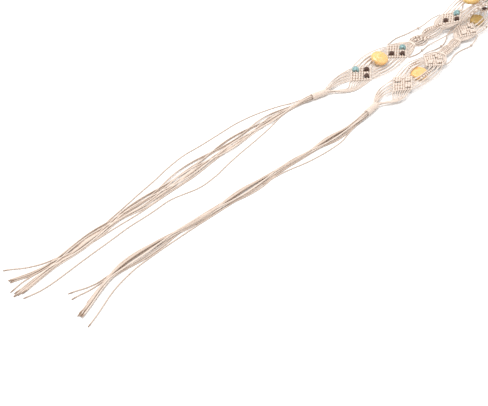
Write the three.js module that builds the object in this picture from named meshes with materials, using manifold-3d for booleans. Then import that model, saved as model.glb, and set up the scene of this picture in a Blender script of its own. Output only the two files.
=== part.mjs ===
// A knotted cord belt with beads and amber discs, folded once and lying on a flat surface.
// Millimetres, +Z up. The belt runs along X: the fringes end at -X, the fold rolls over at +X.
// The far half lies with its face up, the near half with its face down.
import * as THREE from 'three';
import { mergeVertices } from 'three/addons/utils/BufferGeometryUtils.js';
import Module from 'manifold-3d';

// Cord and knotted work
const CORD = 1.6;
const NET_THICKNESS = 3.6;
const ARC_THICKNESS = 1.8;
const GAP = 0.45;
const HAIR = 0.1;
const SHOULDER = CORD + 2 * GAP;

// Motifs, laid flat
const DIAMOND_LENGTH = 50;
const DIAMOND_WIDTH = 40;
const AMBER_SPACE = 34;
const LINK_LENGTH = 76;
const LINK_NECK = 9;
const LEAF_WIDTH = 28;
const FAN_LENGTH = 46;
const BELT_WIDTH = 52;
const WRAP_LENGTH = 26;
const WRAP_DIAMETER = 9.4;
const FRINGE_LENGTH = 486;
const FRINGE_HEAD = 7;
const SIDE_KNOT = 3.6;

// Beads and amber
const BARREL_DIAMETER = 7.8;
const BARREL_LENGTH = 7.4;
const NUGGET_DIAMETER = 10;
const NUGGET_LENGTH = 8.4;
const BEAD_BORE = 3;
const BEAD_LIFT = 2.2;
const BEAD_ROOM = 0.5;
const ROLL_ROOM = 0.7;
const AMBER_DIAMETER = 26.5;
const AMBER_THICKNESS = 9;
const AMBER_BORE = 4.2;
const THREAD_PAIR = 2.2;

// How the belt lies
const ROLL_RADIUS = 12;
const ROLL_SKEW = THREE.MathUtils.degToRad(12.5);
const ROLL_HEADING = THREE.MathUtils.degToRad(-2.5);
const FLAT_REST = NET_THICKNESS / 2 + HAIR;
const BEAD_REST = BEAD_LIFT + BARREL_DIAMETER / 2 + HAIR;
const AMBER_SEAT = ARC_THICKNESS / 2 + GAP + 2 * HAIR;
const AMBER_REST = AMBER_SEAT + AMBER_THICKNESS + HAIR;
const WRAP_REST = WRAP_DIAMETER / 2 + HAIR;
const ROLL_BOTTOM = AMBER_REST;
const ROLL_TOP = ROLL_BOTTOM + 2 * ROLL_RADIUS;

// Motifs from the far end to the near end: kind, share of its length, share of its width
const MOTIFS = [
  { kind: 'wrap', long: 1, wide: 1 },
  { kind: 'fan', long: 1, wide: 1 },
  { kind: 'diamond', long: 1, wide: 1 },
  { kind: 'arcs', long: 1, wide: 1 },
  { kind: 'diamond', long: 1, wide: 1 },
  { kind: 'link', long: 1, wide: 1 },
  { kind: 'diamond', long: 1, wide: 1 },
  { kind: 'arcs', long: 1, wide: 1 },
  { kind: 'diamond', long: 1, wide: 1 },
  { kind: 'arcs', long: 1, wide: 0.98 },
  { kind: 'diamond', long: 0.92, wide: 0.92 },
  { kind: 'link', long: 0.82, wide: 0.86 },
  { kind: 'diamond', long: 0.9, wide: 0.86 },
  { kind: 'arcs', long: 1, wide: 0.9 },
  { kind: 'diamond', long: 0.92, wide: 0.86 },
  { kind: 'fan', long: 0.82, wide: 1 },
  { kind: 'wrap', long: 1, wide: 1 },
];
const LENGTHS = {
  wrap: WRAP_LENGTH, fan: FAN_LENGTH, diamond: DIAMOND_LENGTH, arcs: AMBER_SPACE, link: LINK_LENGTH,
};

// Route of each half from the roll outwards: share of its length, heading and bank in degrees, height
const FAR_ROUTE = [
  { at: 0, heading: -15, bank: 0, height: ROLL_TOP },
  { at: 0.06, heading: -15, bank: 11, height: 0.8 * ROLL_TOP },
  { at: 0.17, heading: -8, bank: 9, height: 0.36 * ROLL_TOP },
  { at: 0.29, heading: -2, bank: 3, height: 0.15 * ROLL_TOP },
  { at: 0.39, heading: -7, bank: 0, height: FLAT_REST },
  { at: 0.51, heading: -4, bank: 0, height: FLAT_REST },
  { at: 0.62, heading: 0, bank: 0, height: FLAT_REST },
  { at: 0.81, heading: 0, bank: 0, height: FLAT_REST },
  { at: 0.93, heading: -13, bank: 0, height: WRAP_REST },
  { at: 1, heading: -14, bank: 0, height: WRAP_REST },
];
const NEAR_ROUTE = [
  { at: 0, heading: 190, bank: 0, height: ROLL_BOTTOM },
  { at: 0.065, heading: 191, bank: 0, height: AMBER_REST },
  { at: 0.18, heading: 189, bank: 0, height: 1.15 * BEAD_REST },
  { at: 0.3, heading: 188, bank: 0, height: 0.75 * BEAD_REST },
  { at: 0.39, heading: 184, bank: 0, height: 0.75 * BEAD_REST },
  { at: 0.5, heading: 186, bank: 0, height: 1.2 * BEAD_REST },
  { at: 0.62, heading: 182, bank: 0, height: AMBER_REST },
  { at: 0.74, heading: 179, bank: 0, height: 1.1 * BEAD_REST },
  { at: 0.86, heading: 183, bank: 0, height: WRAP_REST },
  { at: 1, heading: 186, bank: 0, height: WRAP_REST },
];

// Route of each fringe from its wrap to its tips: share of its length, heading in degrees
const FAR_FRINGE_ROUTE = [
  { at: 0, heading: 166 }, { at: 0.08, heading: 174 }, { at: 0.15, heading: 177 },
  { at: 0.23, heading: 179 }, { at: 0.33, heading: 181 }, { at: 0.45, heading: 182 },
  { at: 0.6, heading: 183 }, { at: 0.68, heading: 182 }, { at: 0.76, heading: 180 },
  { at: 0.82, heading: 177 }, { at: 0.88, heading: 179 }, { at: 1, heading: 181 },
];
const NEAR_FRINGE_ROUTE = [
  { at: 0, heading: 186 }, { at: 0.05, heading: 180 }, { at: 0.12, heading: 177 },
  { at: 0.2, heading: 176 }, { at: 0.27, heading: 175 }, { at: 0.36, heading: 177 },
  { at: 0.6, heading: 177 }, { at: 0.76, heading: 179 }, { at: 0.82, heading: 187 },
  { at: 0.87, heading: 194 }, { at: 0.93, heading: 197 }, { at: 1, heading: 200 },
];

// Locks of each fringe: cords in the lock, its length as a share of the fringe,
// and its sideways offset along the way, counted in cords
const FAR_LOCKS = [
  { cords: 5, reach: 0.98, offsets: [[0, 0.5], [0.1, 0.8], [0.2, 2], [0.33, 2.6], [0.45, 1.9], [0.55, 1.9],
    [0.65, 1.5], [0.76, 0.8], [0.82, 1], [0.9, 3.5], [1, 11]] },
  { cords: 5, reach: 1, offsets: [[0, -0.5], [0.1, -0.8], [0.2, -2.6], [0.33, -4.4], [0.45, -3.4],
    [0.55, -2], [0.65, -1.4], [0.76, -0.6], [0.88, -0.4], [1, 1.6]] },
  { cords: 3, reach: 0.985, offsets: [[0, 0], [0.2, -1.8], [0.33, -2.2], [0.5, -5], [0.6, -5.4], [0.67, -4],
    [0.76, -2.2], [0.88, -1.6], [1, -4]] },
  { cords: 1, reach: 0.975, offsets: [[0, 1], [0.03, 3], [0.1, 8.6], [0.165, 12.8], [0.23, 15], [0.3, 14.6],
    [0.365, 14.8], [0.42, 16.6], [0.495, 17.2], [0.55, 15.2], [0.61, 11.6], [0.66, 9.8], [0.72, 6],
    [0.77, 3.4], [0.82, 3.4], [0.875, 7.5], [0.915, 12.6], [0.96, 20], [1, 27]] },
  { cords: 1, reach: 0.975, offsets: [[0, -1], [0.1, -2], [0.14, -5], [0.17, -8], [0.245, -12], [0.31, -14.4],
    [0.36, -16.6], [0.41, -17.2], [0.45, -14.6], [0.5, -9.6], [0.55, -8.6], [0.6, -8.4], [0.67, -6.4],
    [0.715, -7.6], [0.8, -11.4], [0.865, -13.8], [0.92, -12.8], [0.96, -7], [1, -3]] },
  { cords: 1, reach: 0.99, offsets: [[0, -0.8], [0.3, -4], [0.45, -8], [0.55, -7], [0.63, -6.6], [0.7, -5],
    [0.8, -3], [0.9, -3.4], [1, -5]] },
];
const NEAR_LOCKS = [
  { cords: 12, reach: 1, offsets: [[0, 0], [0.3, 0.1], [0.6, -0.1], [1, 0.1]] },
  { cords: 1, reach: 0.98, offsets: [[0, -1], [0.08, -3], [0.13, -7.6], [0.2, -8.2], [0.26, -7], [0.33, -3.6],
    [0.42, -2.6], [0.6, -3.2], [0.72, -7], [0.8, -7.6], [0.88, -8], [1, -9.6]] },
  { cords: 1, reach: 0.97, offsets: [[0, 1], [0.3, 2.2], [0.5, 2.6], [0.7, 2.4], [0.8, 3], [0.86, 6],
    [0.92, 12.6], [1, 26]] },
  { cords: 1, reach: 0.975, offsets: [[0, 0.6], [0.3, 1], [0.6, 2.2], [0.8, 1.6], [0.86, 3], [0.92, 8],
    [1, 17]] },
  { cords: 1, reach: 0.965, offsets: [[0, 0], [0.4, -2.4], [0.7, -0.5], [0.84, 3.4], [0.9, 3], [1, 2.4]] },
];

// Beads of each diamond: seat, form and the angle of the cord through it, in degrees
const RIGHT = [0.25, 0];
const LEFT = [-0.25, 0];
const FAR_SIDE = [0, 0.27];
const NEAR_SIDE = [0, -0.27];
const MIDDLE_SEAT = [0, 0];
const BEADS = [
  [[FAR_SIDE, 'nugget', 45], [RIGHT, 'barrel', -45], [NEAR_SIDE, 'barrel', 45]],
  [[LEFT, 'barrel', -45], [NEAR_SIDE, 'barrel', 45], [RIGHT, 'nugget', 45]],
  [[LEFT, 'barrel', -45], [NEAR_SIDE, 'barrel', -45], [RIGHT, 'nugget', 45]],
  [[LEFT, 'barrel', 90], [MIDDLE_SEAT, 'nugget', 90], [RIGHT, 'barrel', 90]],
  [[RIGHT, 'barrel', 45], [NEAR_SIDE, 'barrel', -45], [LEFT, 'nugget', 45]],
  [[RIGHT, 'barrel', 45], [NEAR_SIDE, 'barrel', -45], [LEFT, 'nugget', 45]],
  [[FAR_SIDE, 'nugget', 45], [LEFT, 'barrel', 45], [NEAR_SIDE, 'barrel', -45]],
];

// Loose strands beside the two links: link, side, and points as shares
// [along the link, across as a share of half the belt's width, sag below the work as a share of its height]
const SIDE_STRANDS = [
  { link: 0, side: 1, knot: 0.62, points: [[-0.3, 0.82, 0], [0, 0.98, 0.2], [0.3, 0.94, 0.2],
    [0.62, 0.88, 0.2], [0.85, 0.86, 0.2], [1.1, 0.9, 0.1], [1.3, 0.82, 0]] },
  { link: 0, side: -1, knot: 0.16, points: [[-0.3, 0.82, 0], [-0.05, 0.9, 0.2], [0.16, 0.8, 0.2],
    [0.36, 0.68, 0.2], [0.7, 0.82, 0.2], [1.05, 0.94, 0.1], [1.3, 0.82, 0]] },
  { link: 1, side: 1, knot: 0.55, points: [[-0.34, 0.885, 0], [0, 0.9, 0.3], [0.3, 0.66, 0.6],
    [0.55, 0.6, 0.7], [0.8, 0.7, 0.6], [1.1, 0.84, 0.3], [1.33, 0.83, 0]] },
  { link: 1, side: -1, knot: 0.12, points: [[-0.34, 0.885, 0], [-0.1, 0.98, 0.3], [0.12, 0.94, 0.6],
    [0.34, 0.72, 0.7], [0.66, 0.6, 0.6], [1.1, 0.84, 0.3], [1.33, 0.83, 0]] },
];

// Colours
const FINISH = {
  cord: { color: 0xead9c8, roughness: 0.95, metalness: 0 },
  amber: { color: 0xf0c070, roughness: 0.3, metalness: 0 },
  nugget: { color: 0x7cbcbc, roughness: 0.35, metalness: 0 },
  barrel: { color: 0x3c2216, roughness: 0.3, metalness: 0 },
};

const wasm = await Module();
wasm.setup();
const belt = new THREE.Group();

// Value of a column at a place along a route, eased between its rows
function along(rows, column, at) {
  const next = rows.findIndex((row) => row.at >= at);
  if (next <= 0) return rows[next === 0 ? 0 : rows.length - 1][column];
  const [from, to] = [rows[next - 1], rows[next]];
  return THREE.MathUtils.lerp(from[column], to[column],
    THREE.MathUtils.smoothstep(at, from.at, to.at));
}

// Offset of a lock at a share of its way, eased between its pairs
function offsetAt(pairs, at) {
  return along(pairs.map(([share, offset]) => ({ at: share, offset })), 'offset', at);
}

// Where each motif starts and ends, measured along the belt from the middle of the roll
const stations = [];
let reach = 0;
for (const motif of MOTIFS) {
  const length = LENGTHS[motif.kind] * motif.long;
  stations.push({ ...motif, start: reach, length });
  reach += length;
}
const MIDDLE = stations.filter((motif) => motif.kind === 'diamond')[3];
const CENTRE = MIDDLE.start + MIDDLE.length / 2;
const FAR_LENGTH = CENTRE;
const NEAR_LENGTH = reach - CENTRE;
for (const motif of stations) motif.start -= CENTRE;

// The roll: a half turn of a skewed helix about a level axis
const ROLL_LENGTH = Math.PI * ROLL_RADIUS / Math.cos(ROLL_SKEW);
const UP = new THREE.Vector3(0, 0, 1);
const OUT = new THREE.Vector3(Math.cos(ROLL_HEADING), Math.sin(ROLL_HEADING), 0);
const AXIS = new THREE.Vector3().crossVectors(OUT, UP);

function frameOf(point, tangent, bank) {
  const side = new THREE.Vector3().crossVectors(UP, tangent).normalize();
  if (tangent.x < 0) side.negate();
  const face = new THREE.Vector3().crossVectors(tangent, side).normalize();
  side.applyAxisAngle(tangent, -bank);
  face.applyAxisAngle(tangent, -bank);
  return { point, tangent, side, face };
}

function rollFrame(s) {
  const turn = Math.PI * (s / ROLL_LENGTH + 0.5);
  const point = new THREE.Vector3(0, 0, ROLL_BOTTOM + ROLL_RADIUS)
    .addScaledVector(AXIS, ROLL_RADIUS * Math.tan(ROLL_SKEW) * turn)
    .addScaledVector(OUT, ROLL_RADIUS * Math.sin(turn))
    .addScaledVector(UP, ROLL_RADIUS * Math.cos(turn));
  const tangent = new THREE.Vector3()
    .addScaledVector(AXIS, Math.sin(ROLL_SKEW))
    .addScaledVector(OUT, Math.cos(ROLL_SKEW) * Math.cos(turn))
    .addScaledVector(UP, -Math.cos(ROLL_SKEW) * Math.sin(turn));
  const face = new THREE.Vector3()
    .addScaledVector(OUT, Math.sin(turn))
    .addScaledVector(UP, Math.cos(turn));
  return { point, tangent, side: new THREE.Vector3().crossVectors(face, tangent), face };
}

// Frames of one half, stepped outwards from the roll
function halfFrames(route, start, length, outward) {
  const step = 1;
  const count = Math.ceil(length / step) + 4;
  const frames = [];
  const spot = start.point.clone();
  for (let i = 0; i <= count; i += 1) {
    const at = Math.min(i * step / length, 1);
    const heading = THREE.MathUtils.degToRad(along(route, 'heading', at));
    const height = along(route, 'height', at);
    const ahead = along(route, 'height', Math.min(at + 0.5 * step / length, 1));
    const behind = along(route, 'height', Math.max(at - 0.5 * step / length, 0));
    const rise = outward * (ahead - behind) / step;
    const level = Math.sqrt(Math.max(1 - rise * rise, 0));
    const tangent = new THREE.Vector3(Math.cos(heading) * level, Math.sin(heading) * level, rise);
    const bank = THREE.MathUtils.degToRad(along(route, 'bank', at));
    frames.push(frameOf(new THREE.Vector3(spot.x, spot.y, height), tangent, bank));
    spot.addScaledVector(tangent, outward * step);
  }
  return frames;
}

const HALF_ROLL = ROLL_LENGTH / 2;
const BEND_REACH = AMBER_SPACE + DIAMOND_LENGTH;
const BEND_STEP = ROLL_RADIUS / 2;
const farFrames = halfFrames(FAR_ROUTE, rollFrame(-HALF_ROLL), FAR_LENGTH - HALF_ROLL, -1);
const nearFrames = halfFrames(NEAR_ROUTE, rollFrame(HALF_ROLL), NEAR_LENGTH - HALF_ROLL, 1);

function blendFrames(frames, distance) {
  const index = Math.min(Math.max(Math.floor(distance), 0), frames.length - 2);
  const [from, to] = [frames[index], frames[index + 1]];
  const share = distance - index;
  return {
    point: from.point.clone().lerp(to.point, share),
    tangent: from.tangent.clone().lerp(to.tangent, share).normalize(),
    side: from.side.clone().lerp(to.side, share).normalize(),
    face: from.face.clone().lerp(to.face, share).normalize(),
  };
}

function frameAt(s) {
  if (s < -HALF_ROLL) return blendFrames(farFrames, -HALF_ROLL - s);
  if (s > HALF_ROLL) return blendFrames(nearFrames, s - HALF_ROLL);
  return rollFrame(s);
}

// A point of the flat belt (along, across, above its middle plane) where it lies
function place(s, t, h) {
  const { point, side, face } = frameAt(s);
  return point.clone().addScaledVector(side, t).addScaledVector(face, h);
}

// A geometry drawn flat, moved along the belt and bent onto its route
function bend(geometry, start) {
  const spots = geometry.attributes.position;
  for (let i = 0; i < spots.count; i += 1) {
    const spot = place(start + spots.getX(i), spots.getY(i), spots.getZ(i));
    spots.setXYZ(i, spot.x, spot.y, spot.z);
  }
  return geometry;
}

function bare(geometry) {
  const copy = geometry.clone();
  copy.deleteAttribute('normal');
  copy.deleteAttribute('uv');
  return mergeVertices(copy, 1e-4);
}

function solid(geometry) {
  const merged = bare(geometry);
  return new wasm.Manifold(new wasm.Mesh({
    numProp: 3,
    vertProperties: Float32Array.from(merged.attributes.position.array),
    triVerts: Uint32Array.from(merged.index.array),
  }));
}

function fromSolid(body) {
  const mesh = body.getMesh();
  const geometry = new THREE.BufferGeometry();
  geometry.setAttribute('position', new THREE.BufferAttribute(mesh.vertProperties, 3));
  geometry.setIndex(new THREE.BufferAttribute(mesh.triVerts, 1));
  return geometry;
}

function addPiece(name, geometry, finish) {
  geometry.computeVertexNormals();
  const mesh = new THREE.Mesh(geometry, new THREE.MeshStandardMaterial({ ...finish, name }));
  mesh.name = name;
  belt.add(mesh);
}

// A flat slab of an outline, centred on the belt's middle plane
function slab(outline, thickness) {
  const clockwise = THREE.ShapeUtils.isClockWise(outline);
  const shape = new THREE.Shape(clockwise ? outline.slice().reverse() : outline);
  const geometry = new THREE.ExtrudeGeometry(shape, { depth: thickness, bevelEnabled: false, steps: 1 });
  return solid(geometry.translate(0, 0, -thickness / 2));
}

// A slab with holes cut right through it
function plate(outline, holes, thickness) {
  return holes.reduce((body, hole) => body.subtract(slab(hole, 2 * thickness)), slab(outline, thickness));
}

// A closed tube of a few sides through points
function tube(points, radius, sides, steps) {
  const ring = new THREE.Shape();
  for (let i = 0; i < sides; i += 1) {
    const turn = 2 * Math.PI * (i + 0.5) / sides;
    const corner = [radius * Math.cos(turn), radius * Math.sin(turn)];
    if (i === 0) ring.moveTo(...corner);
    else ring.lineTo(...corner);
  }
  const path = new THREE.CatmullRomCurve3(points, false, 'centripetal');
  return new THREE.ExtrudeGeometry(ring, { steps, extrudePath: path, bevelEnabled: false });
}

const flat = (x, y) => new THREE.Vector2(x, y);

// The point of a cord line at one place along the belt, found by halving
function atX(line, x) {
  let [low, high] = [0, 1];
  const rising = line(1).x > line(0).x;
  for (let i = 0; i < 24; i += 1) {
    const mid = (low + high) / 2;
    if ((line(mid).x < x) === rising) low = mid;
    else high = mid;
  }
  return line(low);
}

// Outline of the gap between two cord lines, going out on one and back on the other
function between(lineA, lineB, from, to, count) {
  const rising = lineA(1).x > lineA(0).x;
  const start = Math[rising ? 'max' : 'min'](lineA(from).x, lineB(from).x);
  const points = [];
  for (let i = 0; i <= count; i += 1) {
    points.push(atX(lineA, THREE.MathUtils.lerp(start, lineA(to).x, i / count)));
  }
  for (let i = count; i >= 0; i -= 1) {
    points.push(atX(lineB, THREE.MathUtils.lerp(start, lineB(to).x, i / count)));
  }
  return points;
}

const shift = (line, distance) => (u) => {
  const point = line(u);
  return flat(point.x, point.y + distance);
};

// Knotted diamond: six small gaps and three windows with a cord across each for its bead
function diamondSolid(length, width, beads, room) {
  const tip = CORD;
  const [a, b] = [length / 2 - GAP, width / 2];
  const outline = [flat(-a, -tip), flat(-tip, -b), flat(tip, -b), flat(a, -tip),
    flat(a, tip), flat(tip, b), flat(-tip, b), flat(-a, tip)];
  const windows = beads.map(([seat, form, angle]) => {
    const { radius, half } = beadSize(form);
    const centre = flat(seat[0] * length, seat[1] * width);
    return { centre, turn: THREE.MathUtils.degToRad(angle), wide: radius + room, long: half + room + HAIR };
  });
  const outside = (point) => windows.every(({ centre, turn, wide, long }) => {
    const spot = point.clone().rotateAround(centre, -turn).sub(centre);
    return Math.abs(spot.x) > long + GAP || Math.abs(spot.y) > wide + GAP;
  });
  const holes = windows.map(({ centre, turn, wide, long }) =>
    [[-long, -wide], [-long, wide], [long, wide], [long, -wide]].map(([x, y]) =>
      centre.clone().add(flat(x, y).rotateAround(flat(0, 0), turn))));
  const corners = holes.flat();
  const [rx, ry] = [0.045 * length, 0.045 * width];
  for (const i of [-1, 0, 1]) {
    for (const j of [-1, 0, 1]) {
      const cell = flat(0.125 * (i + j) * length, 0.135 * (i - j) * width);
      const points = [[-rx, 0], [0, ry], [rx, 0], [0, -ry]].map(([x, y]) => cell.clone().add(flat(x, y)));
      const whole = corners.every((p) => Math.abs(p.x - cell.x) / rx + Math.abs(p.y - cell.y) / ry > 1.2);
      if (whole && points.every(outside)) holes.push(points);
    }
  }
  let body = plate(outline, holes, NET_THICKNESS);
  for (const [seat, form, angle] of beads) {
    const { half } = beadSize(form);
    const bar = new THREE.CylinderGeometry(CORD / 2, CORD / 2, 2 * (half + room + CORD), 6);
    bar.rotateZ(Math.PI / 2).rotateZ(THREE.MathUtils.degToRad(angle));
    bar.translate(seat[0] * length, seat[1] * width, BEAD_LIFT);
    body = body.add(solid(bar));
  }
  return body;
}

function beadSize(form) {
  return form === 'nugget'
    ? { radius: NUGGET_DIAMETER / 2, half: NUGGET_LENGTH / 2, squash: BARREL_DIAMETER / NUGGET_DIAMETER }
    : { radius: BARREL_DIAMETER / 2, half: BARREL_LENGTH / 2, squash: 1 };
}

// Drilled bead on its cord: a barrel, or a squashed nugget
function beadGeometry(form, angle) {
  const { radius, half, squash } = beadSize(form);
  const bore = BEAD_BORE / 2;
  const shoulder = form === 'nugget' ? 0.72 : 0.8;
  const profile = [[bore, -half], [shoulder * radius, -half], [radius, 0], [shoulder * radius, half],
    [bore, half], [bore, -half]].map(([x, y]) => flat(x, y));
  const geometry = new THREE.LatheGeometry(profile, 10);
  geometry.rotateZ(-Math.PI / 2).scale(1, 1, squash).rotateZ(THREE.MathUtils.degToRad(angle));
  return geometry;
}

// A small solid that keeps its own form, set on the belt at one place
function seatRigid(geometry, s, t, h) {
  const { point, tangent, side, face } = frameAt(s);
  const pose = new THREE.Matrix4().makeBasis(tangent, side, face);
  pose.setPosition(point.clone().addScaledVector(side, t).addScaledVector(face, h));
  return geometry.applyMatrix4(pose);
}

// Line of one cord between two diamonds, q = -1 to 1 across, u = 0 to 1 along
function arcLine(space, before, after, wide, q) {
  const size = Math.abs(q);
  const start = flat(-size * before.length / 2, q * before.width / 2);
  const end = flat(space + size * after.length / 2, q * after.width / 2);
  const inner = Math.max(size - 0.4, 0) / 0.6;
  const crown = (size < 0.4 ? size * AMBER_DIAMETER / 2
    : THREE.MathUtils.lerp(0.4 * AMBER_DIAMETER / 2, BELT_WIDTH / 2 * wide, inner)) * Math.sign(q);
  return (u) => {
    const chord = start.clone().lerp(end, u);
    const bulge = crown - (start.y + end.y) / 2;
    return flat(chord.x, chord.y + bulge * Math.sin(Math.PI * u));
  };
}

// Parallel cords from diamond to diamond, bowed round the amber, with the threads it hangs on
function arcsSolid(space, before, after, wide) {
  const line = (q) => arcLine(space, before, after, wide, q);
  const rim = (q) => [0, 0.12, 0.3, 0.5, 0.7, 0.88, 1].map((u) => line(q)(u));
  const nudge = (points, dx) => points.map((p, i) =>
    flat(p.x + (i === 0 ? dx : 0) - (i === points.length - 1 ? dx : 0), p.y));
  const outline = [flat(GAP, -CORD), ...nudge(rim(-1), SHOULDER), flat(space - GAP, -CORD),
    flat(space - GAP, CORD), ...nudge(rim(1), SHOULDER).reverse(), flat(GAP, CORD)];
  const holes = [];
  const half = 0.45 * CORD;
  for (const side of [-1, 1]) {
    for (const [low, high, end] of [[0.4, 0.56, 0.15], [0.56, 0.72, 0.18], [0.72, 0.86, 0.16], [0.86, 1, 0.2]]) {
      const trim = high === 1 ? CORD : half;
      holes.push(between(shift(line(side * low), side * half), shift(line(side * high), -side * trim),
        end, 1 - end, 3));
    }
  }
  const slot = 0.26 * AMBER_DIAMETER;
  for (const side of [-1, 1]) {
    holes.push([flat(space / 2 - slot, side * CORD), flat(space / 2 + slot, side * CORD),
      flat(space / 2 + slot, side * 2.6 * CORD), flat(space / 2 - slot, side * 2.6 * CORD)]);
  }
  const body = plate(outline, holes, ARC_THICKNESS);
  const rise = AMBER_SEAT + AMBER_THICKNESS * 0.45;
  const reachOut = AMBER_DIAMETER / 2;
  const thread = tube([[-reachOut - 0.9 * CORD, 0], [-reachOut - 0.9 * CORD, 0.6 * rise],
    [-reachOut - 0.2 * CORD, rise], [0, rise], [reachOut + 0.2 * CORD, rise],
    [reachOut + 0.9 * CORD, 0.6 * rise], [reachOut + 0.9 * CORD, 0]].map(([x, z]) =>
    new THREE.Vector3(space / 2 + x, 0, z)), THREAD_PAIR / 2, 6, 12);
  return body.add(solid(thread));
}

// Domed amber disc with a hole along the belt
function amberSolid() {
  const [r, d] = [AMBER_DIAMETER / 2, AMBER_THICKNESS];
  const profile = [[0, 0], [0.88 * r, 0], [r, 0.35 * d], [0.93 * r, 0.7 * d], [0.66 * r, 0.92 * d],
    [0, d]].map(([x, y]) => flat(x, y));
  const disc = new THREE.LatheGeometry(profile, 16).rotateX(Math.PI / 2);
  const bore = new THREE.CylinderGeometry(AMBER_BORE / 2, AMBER_BORE / 2, 2 * AMBER_DIAMETER, 8);
  bore.rotateZ(Math.PI / 2).translate(0, 0, 0.45 * d);
  return solid(disc).subtract(solid(bore));
}

// Cords spread from the wrap to the first diamond
function fanSolid(length, diamond) {
  const mouth = 0.72 * WRAP_DIAMETER / 2;
  const line = (q) => (u) => {
    const end = flat(length + Math.abs(q) * diamond.length / 2, q * diamond.width / 2);
    const spread = 1 - (1 - u) ** 1.8;
    return flat(THREE.MathUtils.lerp(GAP, end.x, u), THREE.MathUtils.lerp(q * mouth, end.y, spread));
  };
  const rim = (q) => [0, 0.15, 0.3, 0.5, 0.75, 1].map((u) => line(q)(u));
  const trimEnd = (points) => points.map((p, i) => flat(p.x - (i === points.length - 1 ? SHOULDER : 0), p.y));
  const outline = [...trimEnd(rim(-1)), flat(length - GAP, -CORD), flat(length - GAP, CORD),
    ...trimEnd(rim(1)).reverse()];
  const half = 0.45 * CORD;
  const holes = [between(shift(line(-0.12), half), shift(line(0.12), -half), 0.3, 0.84, 3)];
  for (const side of [-1, 1]) {
    for (const [low, high] of [[0.12, 0.45], [0.45, 0.75], [0.75, 1]]) {
      const trim = high === 1 ? 0.75 * CORD : half;
      holes.push(between(shift(line(side * low), side * half), shift(line(side * high), -side * trim),
        0.36, 0.88, 3));
    }
  }
  return plate(outline, holes, ARC_THICKNESS);
}

// Half-width of a link at a share of its length: neck, leaf, neck, leaf
function linkHalfWidth(share, wide) {
  const [neck, leaf] = [LINK_NECK / 2, LEAF_WIDTH / 2 * wide];
  const rows = [{ at: 0.14, half: neck }, { at: 0.32, half: leaf }, { at: 0.52, half: 1.3 * neck },
    { at: 0.74, half: leaf }, { at: 0.94, half: 1.5 * neck }];
  return along(rows, 'half', share);
}

// One leaf of a link, from a diamond's edge to the link's middle; back is -1 on the second leaf
function leafSolid(length, diamond, wide, back) {
  const [from, to] = back < 0 ? [length / 2 + GAP / 2, length] : [0, length / 2 - GAP / 2];
  const gather = 0.14 * length;
  const lead = back < 0 ? length - 0.06 * length : gather;
  const line = (q) => (u) => {
    const x = THREE.MathUtils.lerp(from, to, u);
    return flat(x, q * linkHalfWidth(x / length, wide));
  };
  const corner = back < 0 ? length : 0;
  const open = (q) => (u) => {
    const edge = flat(corner - back * Math.abs(q) * diamond.length / 2, q * diamond.width / 2);
    const meet = flat(lead, q * linkHalfWidth(lead / length, wide));
    return flat(THREE.MathUtils.lerp(edge.x, meet.x, u), THREE.MathUtils.lerp(edge.y, meet.y, u ** 1.1));
  };
  const rim = (q) => {
    const cords = [0, 0.25, 0.5, 0.75].map((u) => open(q)(u));
    cords[0].x += SHOULDER * back;
    const inner = [];
    for (let i = 0; i <= 7; i += 1) {
      const x = THREE.MathUtils.lerp(lead, back < 0 ? from : to, i / 7);
      inner.push(flat(x, q * linkHalfWidth(x / length, wide)));
    }
    return [...cords, ...inner];
  };
  const tip = flat(corner + GAP * back, CORD);
  const outline = [flat(tip.x, -tip.y), ...rim(-1), ...rim(1).reverse(), tip];
  const half = 0.45 * CORD;
  const holes = [];
  const clear = (point) => back * (point.x - corner) + Math.abs(point.y) * diamond.length / diamond.width
    > 2 * CORD;
  for (const side of [-1, 1]) {
    for (const [low, high] of [[0.3, 0.65], [0.65, 1]]) {
      const inner = shift(open(side * low), side * 0.7 * half);
      const outer = shift(open(side * high), -side * (high === 1 ? 1.4 : 0.7) * half);
      let first = 0.3;
      while (first < 0.6 && !(clear(inner(first)) && clear(outer(first)))) first += 0.02;
      const room = back * (outer(0.7).x - inner(first).x);
      if (room > 2 * CORD) holes.push(between(inner, outer, first, 0.7, 3));
    }
  }
  const body = back < 0 ? [0.28, 0.72] : [0.46, 0.86];
  for (const [low, high] of [[-0.62, -0.2], [-0.2, 0.25], [0.25, 0.66]]) {
    holes.push(between(shift(line(low), half), shift(line(high), -half), body[0], body[1], 3));
  }
  return plate(outline, holes, NET_THICKNESS);
}

function wrapGeometry(length) {
  const [r, edge] = [WRAP_DIAMETER / 2, CORD / 2];
  const half = length / 2 - GAP;
  const profile = [[0, -half], [r - edge, -half], [r, -half + edge], [r, half - edge], [r - edge, half],
    [0, half]].map(([x, y]) => flat(x, y));
  return new THREE.LatheGeometry(profile, 14).rotateZ(-Math.PI / 2);
}

// Loose strand with a small knot on it
function strandSolid(row, link) {
  const spots = row.points.map(([u, across, sag]) => {
    const s = link.start + u * link.length;
    const t = row.side * across * link.wide * BELT_WIDTH / 2;
    const spot = place(s, t, 0);
    spot.z = Math.max(spot.z * (1 - sag), CORD / 2 + HAIR);
    return spot;
  });
  const path = new THREE.CatmullRomCurve3(spots, false, 'centripetal');
  const knot = new THREE.SphereGeometry(SIDE_KNOT / 2, 8, 5);
  const [first, last] = [row.points[0][0], row.points.at(-1)[0]];
  const centre = path.getPoint((row.knot - first) / (last - first));
  knot.translate(centre.x, centre.y, Math.max(centre.z, SIDE_KNOT / 2 + HAIR));
  return solid(tube(spots, CORD / 2, 8, 14)).add(solid(knot));
}

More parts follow.
